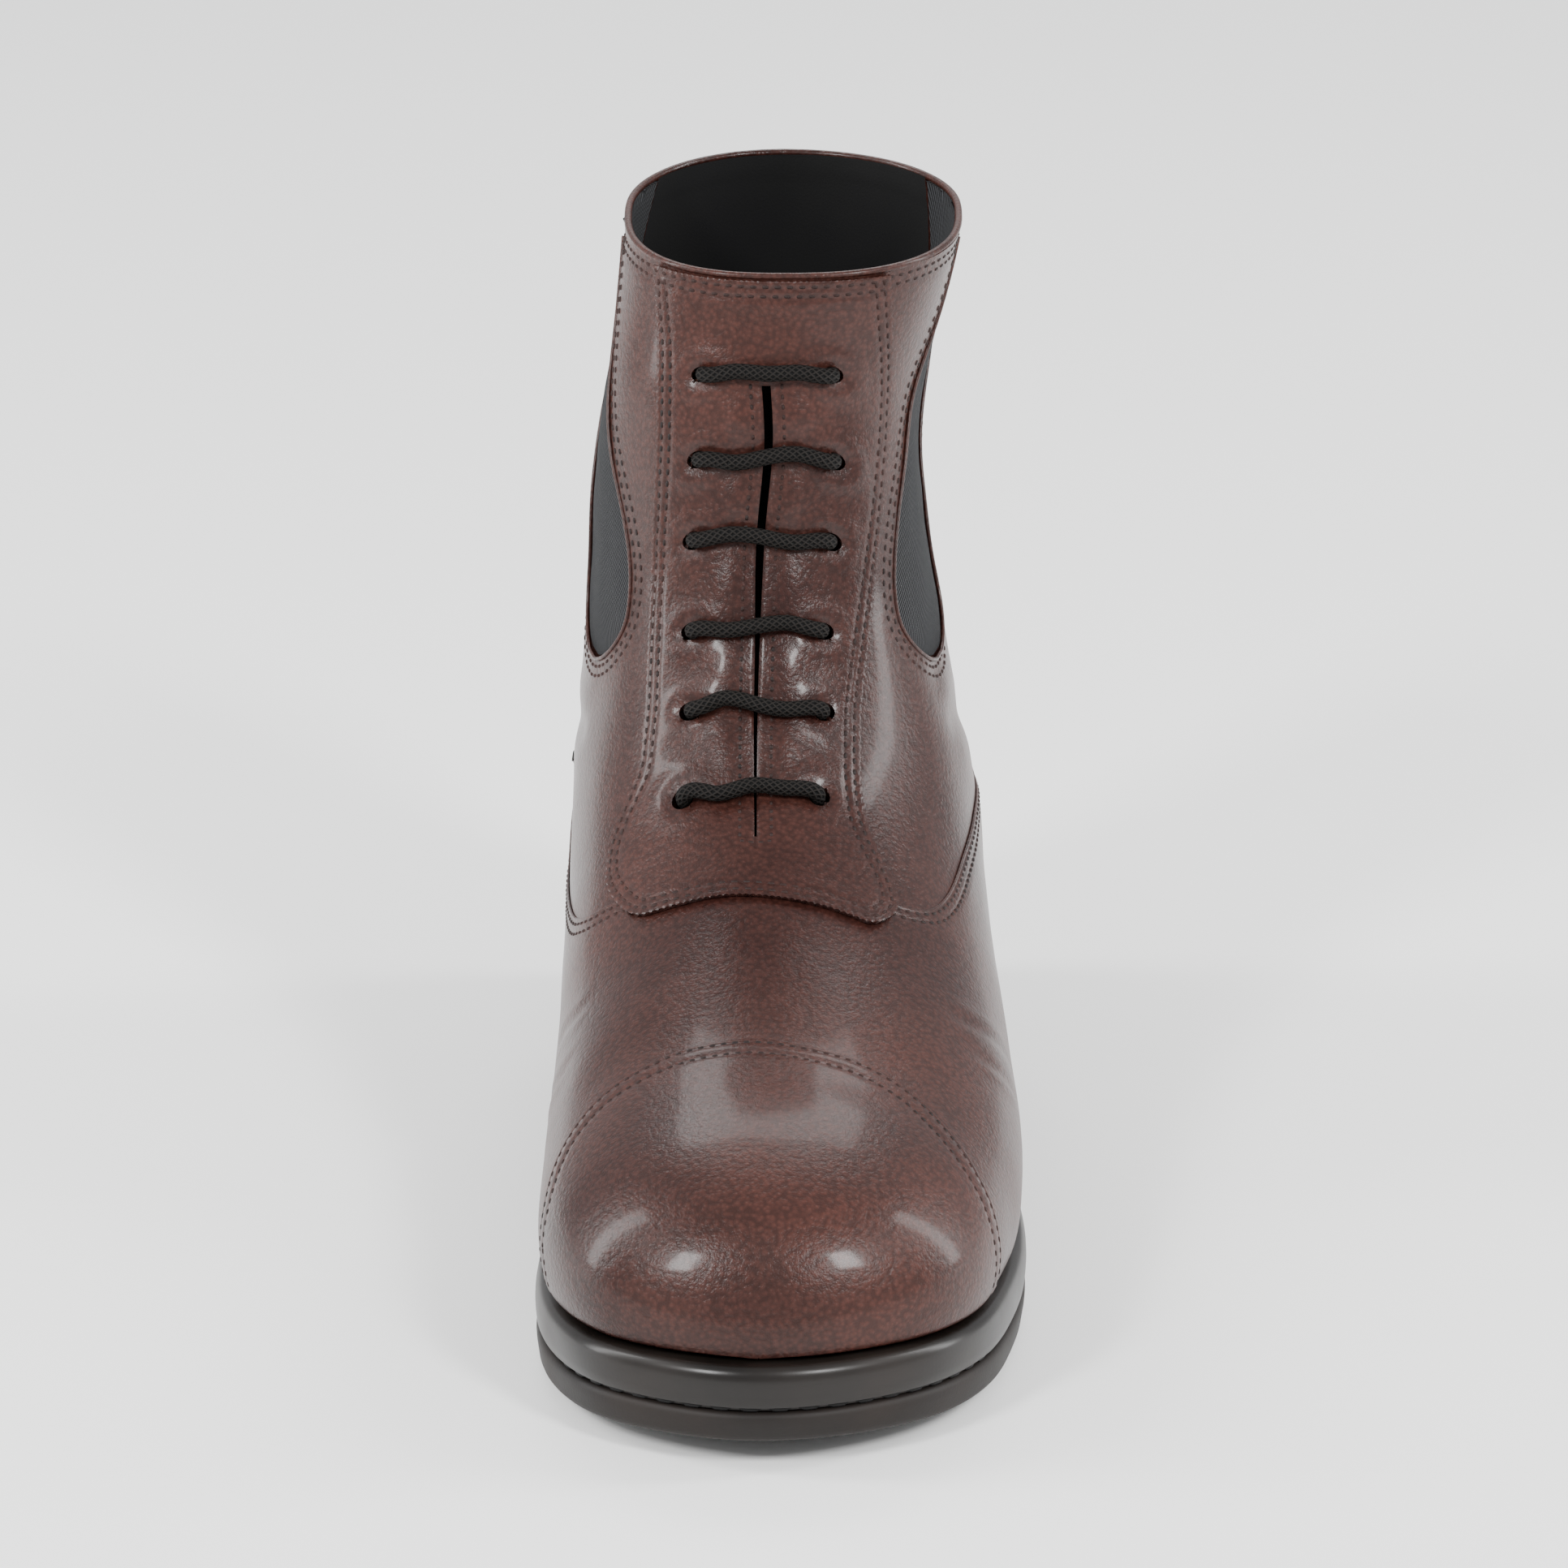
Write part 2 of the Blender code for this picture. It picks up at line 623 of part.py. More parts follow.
def gore_grid(side, clearance, rows, columns):
    """Places of a gore: a U in side view whose sides run back as they rise, open at the collar."""
    front = line_through(GORE_EDGES, 1)
    back = line_through(GORE_EDGES, 2)
    foot_z = GORE_FOOT_Z + 2 * clearance
    radius = GORE_FOOT_RADIUS - clearance
    top_z = GORE_TOP_Z if clearance else NOTCH_TOP_Z
    stations = np.zeros((rows, columns))
    turns = np.zeros((rows, columns))
    for i, up in enumerate(np.linspace(.09, 1, rows) ** 2):
        z = foot_z + (top_z - foot_z) * up
        front_y = float(front(z)) + clearance
        back_y = float(back(z)) - clearance
        below = max(0.0, 1 - (z - foot_z) / radius)
        share = math.sqrt(1 - below ** 2)
        middle = (front_y + back_y) / 2
        half = (back_y - front_y) / 2 * share
        for j, y in enumerate(np.linspace(middle - half, middle + half, columns)):
            stations[i, j], turns[i, j] = LAST.on_side(y, z, side)
    return stations, turns


def make_gore(name, side, finish):
    maker = bmesh.new()
    stations, turns = gore_grid(side, GORE_GAP, 14, 8)
    stations = np.minimum(stations, COLLAR_STATION - .05)
    add_sheet(maker, stations, turns, -GORE_SINK - GORE_THICK, -GORE_SINK)
    return add_object(name, maker, finish)


def gore_cutter(name, side):
    maker = bmesh.new()
    stations, turns = gore_grid(side, 0.0, 14, 10)
    add_sheet(maker, stations, turns, -6.0, 5.0)
    return add_cutter(name, maker)


def make_tongue(finish):
    """Backing behind the slot, sewn in at its foot and clear of the lace's inner runs above."""
    maker = bmesh.new()
    rows = 15
    columns = 9
    stations = np.repeat(np.linspace(*TONGUE_STATIONS, rows)[:, None], columns, 1)
    x = np.repeat(np.linspace(*TONGUE_EDGES, columns)[None, :], rows, 0)
    near = -LINING_DEPTH - GAP
    clear_of_lace = 2 * LACE_RADIUS + 4 * GAP
    outer = near - clear_of_lace * ease(7.6, 8.3, stations)
    add_sheet(maker, stations, LAST.turn_at(stations, x), outer - TONGUE_THICK, outer)
    return add_object("tongue", maker, finish)


def lace_route():
    """Points of the lace: a bar over each pair of holes, and a run inside down to the next pair."""
    over = FACING_SEAT + FACING_THICK + LACE_RADIUS + LACE_GAP
    inside = -LINING_DEPTH - 3 * GAP - LACE_RADIUS
    points = []
    for k, (station, medial_x, lateral_x, medial_wave, lateral_wave) in enumerate(LACE_BARS):
        width = lateral_x - medial_x
        per_mm = .062 if station > 11 else .075
        bar = [
            (medial_x, inside, 0.0),
            (medial_x, (inside + over) / 2, 0.0),
            (medial_x + .35, over - .9, 0.0),
            (medial_x + 2.4, over, 0.0),
            (medial_x + .26 * width, over, medial_wave),
            (medial_x + .5 * width, over, 0.0),
            (lateral_x - .26 * width, over, lateral_wave),
            (lateral_x - 2.4, over, 0.0),
            (lateral_x - .35, over - .9, 0.0),
            (lateral_x, (inside + over) / 2, 0.0),
            (lateral_x, inside, 0.0),
        ]
        if k % 2:
            bar.reverse()
        for x, lift, wave in bar:
            along = station + wave * per_mm
            points.append(LAST.surface(along, LAST.turn_at(along, x), lift))
        if k < len(LACE_BARS) - 1:
            end_x = bar[-1][0]
            below = LACE_BARS[k + 1]
            next_x = below[2] if k % 2 == 0 else below[1]
            for share in (.25, .5, .75):
                along = station + (below[0] - station) * share
                x = end_x + (next_x - end_x) * share
                points.append(LAST.surface(along, LAST.turn_at(along, x), inside))
    return points


def make_lace(finish):
    """Round cord swept along the route, with its ends capped."""
    maker = bmesh.new()
    route = np.array(lace_route())
    across = Vector((0, 0, 1))
    rings = []
    for centre, step in zip(route, np.gradient(route, axis=0)):
        along = Vector(step).normalized()
        across = (across - along * across.dot(along)).normalized()
        up = along.cross(across)
        ring = []
        for k in range(LACE_SIDES):
            turn = 2 * math.pi * k / LACE_SIDES
            out = across * math.cos(turn) + up * math.sin(turn)
            ring.append(maker.verts.new(place(Vector(centre) + out * LACE_RADIUS)))
        rings.append(ring)
    for ring, following in zip(rings, rings[1:]):
        for k in range(LACE_SIDES):
            m = (k + 1) % LACE_SIDES
            maker.faces.new((ring[k], ring[m], following[m], following[k]))
    maker.faces.new(rings[0])
    maker.faces.new(rings[-1])
    return add_object("lace", maker, finish, math.radians(60))


def sole_edge(station, side, reach):
    """Point of the sole's outline in plan: the upper's lower edge pushed out by reach."""
    here = LAST.point(station, side)
    if station <= 1e-6:
        return here + np.array([0, -reach, 0])
    if station >= SEAT_STATION - 1e-6:
        return here + np.array([0, reach, 0])
    ahead = LAST.point(min(station + .02, SEAT_STATION), side)
    behind = LAST.point(station - .02, side)
    along = ahead - behind
    out = np.array([along[1], -along[0], 0]) * side
    return here + out / np.linalg.norm(out) * reach


def sole_layer(name, finish, stations, rings):
    """Closed layer of the sole. Each ring gives its reach and a function for its height."""
    maker = bmesh.new()
    loops = []
    for reach, height in rings:
        medial = []
        lateral = []
        for station in stations:
            for side, line in ((MEDIAL, medial), (LATERAL, lateral)):
                point = sole_edge(station, side, float(reach(station)))
                point[2] = height(point, station)
                line.append(maker.verts.new(place(point)))
        for k, station in enumerate(stations):
            if station <= 1e-6 or station >= SEAT_STATION - 1e-6:
                maker.verts.remove(lateral[k])
                lateral[k] = medial[k]
        loops.append((medial, lateral))
    for medial, lateral in (loops[0], loops[-1]):
        for k in range(len(stations) - 1):
            corners = [medial[k], medial[k + 1], lateral[k + 1], lateral[k]]
            maker.faces.new(list(dict.fromkeys(corners)))
    for lower, upper in zip(loops, loops[1:]):
        for low_line, high_line in zip(lower, upper):
            for k in range(len(stations) - 1):
                maker.faces.new((low_line[k], low_line[k + 1], high_line[k + 1], high_line[k]))
        if stations[0] > 1e-6:
            maker.faces.new((lower[0][0], lower[1][0], upper[1][0], upper[0][0]))
    return add_object(name, maker, finish)


def welt_height(drop):
    """Height function of a ring that follows the upper's lower edge at a fixed drop."""
    return lambda point, station: float(LAST.sizes(station)["back_z"]) - drop


def tread_height(rise):
    tread = line_through(TREAD, 1, False)
    return lambda point, station: float(tread(point[1])) + rise


def floor_height(rise):
    return lambda point, station: rise


def reach_at(extra):
    """The sole stands out by the welt's reach all round, more at the toe, plus extra."""
    return lambda station: WELT_REACH + (TOE_REACH - WELT_REACH) * (1 - ease(0, 3, station)) + extra


def inset_at(extra):
    """The insole lies inside the upper's lower edge."""
    return lambda station: -INSOLE_INSET - extra


def make_insole(finish):
    rings = (
        (inset_at(.4), welt_height(-INSOLE_SEAT)),
        (inset_at(0.0), welt_height(-INSOLE_SEAT - .4)),
        (inset_at(0.0), welt_height(-INSOLE_SEAT - INSOLE_THICK + .5)),
        (inset_at(.5), welt_height(-INSOLE_SEAT - INSOLE_THICK)),
    )
    return sole_layer("insole", finish, SOLE_STATIONS, rings)


def make_midsole(finish):
    low = GAP + MIDSOLE_THICK
    rings = (
        (reach_at(-.6), welt_height(low)),
        (reach_at(0.0), welt_height(low - .8)),
        (reach_at(.2), welt_height(low - 5.0)),
        (reach_at(-.5), welt_height(GAP + 1.0)),
        (reach_at(-1.8), welt_height(GAP)),
    )
    return sole_layer("midsole", finish, SOLE_STATIONS, rings)


def make_outsole(finish, lug_cutter):
    top = 2 * GAP + MIDSOLE_THICK
    rings = (
        (reach_at(-2.2), tread_height(0.0)),
        (reach_at(-.6), tread_height(1.2)),
        (reach_at(0.0), welt_height(top + 2.4)),
        (reach_at(-.6), welt_height(top)),
    )
    outsole = sole_layer("outsole", finish, SOLE_STATIONS, rings)
    cut(outsole, lug_cutter)
    return outsole


def make_heel(finish, lug_cutter):
    rings = (
        (reach_at(-HEEL_TAPER - 1.4), floor_height(0.0)),
        (reach_at(-HEEL_TAPER), floor_height(1.2)),
        (reach_at(-1.0), tread_height(-GAP - 1.0)),
        (reach_at(-1.4), tread_height(-GAP)),
    )
    heel = sole_layer("heel", finish, HEEL_STATIONS, rings)
    cut(heel, lug_cutter)
    return heel


def lug_groove_cutter(name, rows, x, reach):
    """Grooves across the tread, which leave a plain rim at both edges."""
    maker = bmesh.new()
    for y in rows:
        made = bmesh.ops.create_cube(maker, size=1.0)
        size = (2 * reach * MM, LUG_GROOVE * MM, 2 * LUG_DEPTH * MM)
        bmesh.ops.scale(maker, vec=size, verts=made["verts"])
        bmesh.ops.translate(maker, vec=place((x, y, 0.0)), verts=made["verts"])
    return add_cutter(name, maker)


def make_spur_rest(finish):
    """Moulded ledge round the counter, widest at the back, running out to a point at each side."""
    maker = bmesh.new()
    past_the_back = np.linspace(SPUR_REST_LINE[0][0], 2 - SPUR_REST_LINE[0][0], 33)
    round_back = np.minimum(past_the_back, 2 - past_the_back)
    columns = np.where(past_the_back <= 1, past_the_back, past_the_back - 2)
    middle = line_through(SPUR_REST_LINE, 1)(round_back)
    half = line_through(SPUR_REST_LINE, 2)(round_back)
    rows = np.linspace(-1, 1, 5)
    stations = middle[None, :] + rows[:, None] * half[None, :]
    turned = np.broadcast_to(columns, stations.shape)
    ledge = line_through(SPUR_REST_LINE, 3)(round_back)
    swell = np.sqrt(1 - np.abs(rows) ** 2.5)[:, None] * ledge[None, :]
    base = VAMP_LIFT + SPUR_REST_SEAT
    add_sheet(maker, stations, turned, base, base + .8 + swell)
    return add_object("spur_rest", maker, finish)


def make_boot():
    brown_leather = material("Brown leather", (.085, .036, .028), .38)
    elastic = material("Grey elastic", (.035, .036, .038), .8)
    black_lining = material("Black lining", (.008, .008, .009), .7)
    black_cord = material("Black cord", (.01, .01, .01), .75)
    black_rubber = material("Black rubber", (.012, .011, .011), .45)
    tread_rubber = material("Tread rubber", (.014, .013, .013), .6)
    board = material("Insole board", (.05, .04, .03), .8)

    slot = slot_cutter()
    lace_holes = lace_hole_cutter()
    upper = make_upper(brown_leather)
    for cutter in (gore_cutter("gore_lateral_cutter", LATERAL),
                   gore_cutter("gore_medial_cutter", MEDIAL), slot, lace_holes):
        cut(upper, cutter)
    make_facing(brown_leather, (slot, lace_holes))
    make_gore("gore_lateral", LATERAL, elastic)
    make_gore("gore_medial", MEDIAL, elastic)
    make_tongue(black_lining)
    make_lace(black_cord)
    make_insole(board)
    make_midsole(black_rubber)
    forefoot_grooves = lug_groove_cutter("forefoot_groove_cutter", FOREFOOT_GROOVES, 0.0,
                                         FOREFOOT_GROOVE_REACH)
    make_outsole(tread_rubber, forefoot_grooves)
    heel_grooves = lug_groove_cutter("heel_groove_cutter", HEEL_GROOVES, HEEL_GROOVE_X,
                                     HEEL_GROOVE_REACH)
    make_heel(tread_rubber, heel_grooves)
    make_spur_rest(black_rubber)


def clear_scene():
    for old in list(bpy.data.objects):
        bpy.data.objects.remove(old, do_unlink=True)


clear_scene()
make_boot()
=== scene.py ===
"""The looks of a left paddock boot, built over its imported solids.

Lengths are in millimetres in the boot's own sizes, and turn to metres only where a mesh is made.
"""
from __future__ import annotations

import logging
import math
from dataclasses import dataclass, field
from enum import Enum
from typing import Callable, ClassVar, Optional, Sequence

import bmesh
import bpy
import numpy as np
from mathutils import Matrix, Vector, noise
from mathutils.bvhtree import BVHTree

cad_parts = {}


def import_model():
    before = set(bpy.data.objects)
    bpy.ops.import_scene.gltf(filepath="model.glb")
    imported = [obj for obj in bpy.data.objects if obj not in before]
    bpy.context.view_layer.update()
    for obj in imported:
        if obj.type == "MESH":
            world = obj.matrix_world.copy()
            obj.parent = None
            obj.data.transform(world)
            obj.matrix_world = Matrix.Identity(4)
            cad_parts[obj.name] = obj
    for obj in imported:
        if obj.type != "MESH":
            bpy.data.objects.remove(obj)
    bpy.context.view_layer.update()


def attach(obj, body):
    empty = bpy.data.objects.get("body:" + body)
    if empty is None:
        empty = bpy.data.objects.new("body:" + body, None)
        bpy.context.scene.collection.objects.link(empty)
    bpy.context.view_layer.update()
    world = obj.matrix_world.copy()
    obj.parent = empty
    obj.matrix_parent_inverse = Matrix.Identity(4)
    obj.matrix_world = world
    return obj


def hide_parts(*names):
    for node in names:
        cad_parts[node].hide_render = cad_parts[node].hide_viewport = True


MM = 0.001
log = logging.getLogger("paddock_boot")

# Middle of the footprint, from the boot's centre line and from the toe end of its sole
CENTRE_X = 1.95
CENTRE_Y = 142.95

# Sections of the last, as the solids have them, from the toe tip to the collar
STATION_COLUMNS = ("back_y", "back_z", "front_y", "front_z", "medial", "lateral",
                   "medial_in", "lateral_in", "ridge", "widest", "low", "top")
STATIONS = (
    (7.0, 23.2, 7.0, 23.2, 0.0, 0.0, 0.0, 0.0, -2.5, .24, 2.0, 2.0),              # toe tip
    (10.3, 22.9, 10.3, 37.6, -19.2, 15.7, 2.0, 2.0, -2.5, .24, 2.0, 2.0),         # toe end
    (20.0, 22.0, 20.0, 48.8, -35.0, 32.5, 2.8, 2.8, -2.5, .24, 2.0, 2.05),        # toe
    (36.0, 20.4, 36.0, 56.2, -44.3, 43.5, 3.3, 3.2, -2.5, .24, 2.0, 2.1),         # toe cap
    (55.0, 18.6, 55.0, 60.7, -48.2, 48.6, 3.5, 3.2, -2.5, .24, 2.0, 2.1),         # toe joints
    (75.0, 17.3, 75.2, 65.2, -48.6, 51.6, 3.6, 3.2, -3.0, .24, 2.0, 2.05),        # cap edge
    (97.0, 17.2, 96.2, 72.4, -47.9, 52.4, 4.4, 3.4, -3.5, .26, 2.0, 2.0),         # ball
    (124.0, 19.5, 117.4, 81.0, -47.2, 50.9, 7.5, 4.5, -4.5, .28, 2.0, 2.0),       # vamp
    (155.0, 25.0, 133.9, 89.8, -46.6, 48.8, 11.5, 7.5, -5.5, .33, 1.95, 2.0),     # waist
    (192.0, 32.0, 146.5, 99.7, -45.7, 46.7, 14.5, 11.0, -6.0, .38, 1.9, 2.05),    # instep
    (232.0, 36.6, 155.8, 111.1, -45.7, 45.4, 14.0, 12.0, -5.5, .45, 1.6, 2.1),    # heel front
    (264.0, 37.7, 161.9, 122.3, -45.2, 42.8, 10.5, 10.5, -5.0, .50, 1.4, 2.15),   # heel
    (279.0, 38.0, 166.9, 134.0, -44.5, 40.4, 0.0, 0.0, -4.5, .52, 2.08, 2.2),     # seat
    (282.6, 57.0, 170.8, 146.6, -43.3, 38.2, 0.0, 0.0, -4.0, .53, 2.2, 2.2),      # counter
    (276.5, 80.0, 173.5, 159.2, -42.0, 35.0, 0.0, 0.0, -3.0, .53, 2.12, 2.25),    # ankle
    (267.5, 105.0, 175.7, 171.3, -41.2, 33.0, 0.0, 0.0, -2.0, .52, 1.95, 2.3),    # above ankle
    (263.5, 135.0, 177.5, 182.8, -39.2, 32.4, 0.0, 0.0, -1.0, .51, 2.05, 2.35),   # shaft
    (264.0, 170.0, 178.8, 192.9, -36.0, 36.6, 0.0, 0.0, 0.5, .50, 2.1, 2.4),      # upper shaft
    (267.0, 206.0, 179.5, 202.0, -33.6, 41.0, 0.0, 0.0, 1.5, .50, 2.2, 2.45),     # collar
)
SEAT_STATION = 12.0
COLLAR_STATION = 18.0
HEEL_TURN_DEPTH = 38.0
SHAFT_TURN_DEPTH = 42.0
HEEL_ROUNDNESS = 2.2
MIRRORED_STATIONS = 3

# Seams: the turn round a section, and the station where the seam crosses it
CAP_SEAM = ((-1.0, 3.55), (-.60, 3.6), (-.44, 3.8), (-.33, 4.5), (-.25, 4.78), (-.12, 4.95),
            (0.0, 5.0), (.12, 4.86), (.19, 4.62), (.26, 4.26), (.34, 3.88), (.45, 3.6), (1.0, 3.55))
VAMP_SEAM = ((-1.0, 14.25), (-.85, 13.3), (-.70, 12.1), (-.60, 10.9), (-.52, 9.85), (-.46, 9.0),
             (-.38, 8.25), (-.31, 7.9), (-.20, 7.6), (0.0, 7.5), (.20, 7.4), (.25, 7.6),
             (.30, 8.17), (.35, 8.92), (.41, 9.67), (.50, 10.7), (.60, 11.75), (.72, 12.7),
             (.85, 13.55), (1.0, 14.25))

# Facing: station, and x of its two edges. Its foot: x and station
FACING_EDGES = ((6.90, -31.0, 23.0), (7.15, -33.8, 26.4), (7.50, -35.6, 25.4), (8.00, -35.4, 20.8),
                (8.40, -33.2, 18.9), (9.00, -28.9, 18.0), (10.0, -27.5, 18.0), (11.7, -27.0, 19.9),
                (13.2, -26.2, 22.0), (14.8, -25.3, 24.0), (16.4, -25.0, 25.0), (18.0, -25.8, 24.4))
FACING_FOOT = ((-36.0, 7.35), (-25.0, 7.10), (-12.0, 7.02), (0.0, 6.98), (12.0, 6.94), (27.0, 6.82))
FACING_TOP = 17.93

# Slot: station and x. Lace bars: station, x of the two holes, and how far the bar waves
SLOT_LINE = ((7.9, -4.1), (9.8, -4.2), (11.4, -3.8), (13.2, -2.9), (14.5, -1.5), (15.6, -2.0))
LACE_BARS = ((15.88, -15.5, 12.1, .8, .6), (14.34, -16.4, 12.4, -1.4, 1.2),
             (12.96, -17.5, 11.5, .8, -1.2), (11.43, -17.7, 9.9, -1.0, 1.1),
             (10.02, -17.9, 10.2, 1.6, -.8), (8.68, -19.5, 9.3, -1.5, -.3))

# Gores in side view: height, and y of the notch's front and back edges
GORE_EDGES = ((110.0, 180.5, 211.0), (126.0, 181.0, 212.5), (142.0, 187.0, 217.5),
              (162.0, 197.5, 227.5), (185.0, 209.0, 239.5), (215.0, 221.4, 254.0))
GORE_FOOT_Z = 110.0
GORE_FOOT_RADIUS = 15.0
NOTCH_TOP_Z = 214.0

# Tread line of the sole: y and height. Spur rest: turn, station, half its height, ledge
TREAD = ((0.0, 6.6), (12.0, 5.4), (30.0, 3.4), (50.0, 1.3), (66.0, .2), (72.0, 0.0), (104.0, 0.0),
         (112.0, .5), (130.0, 3.4), (155.0, 7.8), (192.0, 14.6), (232.0, 19.2), (264.0, 20.3),
         (284.6, 20.5))
HEEL_BREAST_STATION = 9.45
SPUR_REST_LINE = ((.53, 11.0, .10, .5), (.62, 11.95, .17, .8), (.74, 12.65, .21, 1.3),
                  (.87, 13.15, .21, 1.9), (1.0, 13.4, .20, 2.4))

# Leather, fit and sole, as the solids have them
GAP = .3
LINING_DEPTH = 1.5
VAMP_LIFT = .6
CAP_LIFT = 1.2
FACING_SEAT = .4
FACING_THICK = 1.2
LACE_RADIUS = 1.75
MIDSOLE_THICK = 9.5
WELT_REACH = 4.8
TOE_REACH = 6.6
INSOLE_THICK = 2.4
INSOLE_INSET = 4.2
INSOLE_SEAT = .5
SLOT_ROW_AWAY = 3.4

# Backing behind the slot: its lowest and highest station, and x of its two edges
TONGUE_STATIONS = (7.55, 16.9)
TONGUE_X = (-24.5, 17.5)

# Sections of the sole's layers: reach past the upper, and distance from the face or line named
MIDSOLE_OVER_LOWER_FACE = ((-1.4, 0.0), (-1.3, .5), (-.35, .9), (-.05, 1.6), (.12, 3.2),
                           (.2, 5.0), (.12, 6.5))
MIDSOLE_UNDER_UPPER_FACE = ((-.15, 1.7), (-.6, .9), (-1.2, .35), (-2.0, 0.0))
OUTSOLE_OVER_TREAD = ((-2.2, 0.0), (-1.4, .25), (-.8, .8), (-.5, 1.6))
OUTSOLE_UNDER_UPPER_FACE = ((-.1, 3.0), (0.0, 1.6), (-.2, .8), (-.7, .3), (-1.4, 0.0))
HEEL_OVER_FLOOR = ((-3.2, 0.0), (-2.3, .4), (-1.8, 1.2), (-1.6, 5.6), (-1.9, 5.9), (-1.9, 6.2),
                   (-1.5, 6.5))
HEEL_UNDER_TREAD = ((-1.1, .8), (-1.5, 0.0))

# Cross grooves: depth, and half their width at the mouth and at the floor
GROOVE_DEPTH = 1.4
GROOVE_MOUTH = 2.0
GROOVE_FLOOR = 1.3

# Shading: widest angle between faces that is still shaded smooth, in degrees
SMOOTH_ANGLE = 45.0
SMOOTH_ANGLE_ROUND = 80.0
SMOOTH_ANGLE_SOLE = 38.0

# Rows of thread: distance from the edge that they hold
CAP_ROWS = (1.3, 5.0)
VAMP_ROWS = (1.5, 3.7)
COLLAR_ROWS = (1.9, 4.0)
FACING_ROWS = (1.6, 3.7)
GORE_ROWS = (1.7, 3.8)

Place = np.ndarray


class Side(Enum):
    """Side of the foot, as the sign of x."""

    MEDIAL = -1
    LATERAL = 1


class Spline:
    """Natural cubic spline through values at rising knots."""

    def __init__(self, knots: Sequence[float], values: Sequence[float]) -> None:
        """Solves the spline.

        Args:
            knots: Rising places of the values.
            values: Values at the knots.
        """
        self.knots = np.asarray(knots, float)
        self.values = np.asarray(values, float)
        steps = np.diff(self.knots)
        count = len(self.knots)
        matrix = np.identity(count)
        right = np.zeros(count)
        for i in range(1, count - 1):
            matrix[i, i - 1] = steps[i - 1]
            matrix[i, i] = 2 * (steps[i - 1] + steps[i])
            matrix[i, i + 1] = steps[i]
            rise = (self.values[i + 1] - self.values[i]) / steps[i]
            fall = (self.values[i] - self.values[i - 1]) / steps[i - 1]
            right[i] = 6 * (rise - fall)
        self.bends = np.linalg.solve(matrix, right)

    def __call__(self, at: np.ndarray) -> np.ndarray:
        """Value at each place."""
        at = np.asarray(at, float)
        i = np.clip(np.searchsorted(self.knots, at) - 1, 0, len(self.knots) - 2)
        step = self.knots[i + 1] - self.knots[i]
        a = (self.knots[i + 1] - at) / step
        b = (at - self.knots[i]) / step
        bent = (a ** 3 - a) * self.bends[i] + (b ** 3 - b) * self.bends[i + 1]
        return a * self.values[i] + b * self.values[i + 1] + bent * step * step / 6


def ease(low: float, high: float, value: np.ndarray) -> np.ndarray:
    """Smooth rise from 0 at low to 1 at high."""
    share = np.clip((np.asarray(value, float) - low) / (high - low), 0, 1)
    return share * share * (3 - 2 * share)


def hill(value: np.ndarray, centre: float, width: float) -> np.ndarray:
    """Rounded hill of height 1 about a centre."""
    return np.exp(-((np.asarray(value, float) - centre) / width) ** 2)


def table_line(table: Sequence[Sequence[float]], column: int, smooth: float = 0.0) -> Callable:
    """Function of a table's first column that gives another column.

    Args:
        table: Rows of numbers, by rising first column.
        column: Column that the function gives.
        smooth: Width over which corners are rounded, in the first column's units.

    Returns:
        The function, which takes a number or an array.
    """
    knots = np.array([row[0] for row in table], float)
    values = np.array([row[column] for row in table], float)
    if not smooth:
        return lambda at: np.interp(at, knots, values)
    fine = np.linspace(knots[0], knots[-1], 801)
    window = np.hanning(2 * int(smooth / (fine[1] - fine[0])) + 3)
    rough = np.interp(fine, knots, values)
    padded = np.pad(rough, len(window) // 2, mode="reflect", reflect_type="odd")
    rounded = np.convolve(padded, window / window.sum(), mode="valid")
    return lambda at: np.interp(at, fine, rounded)


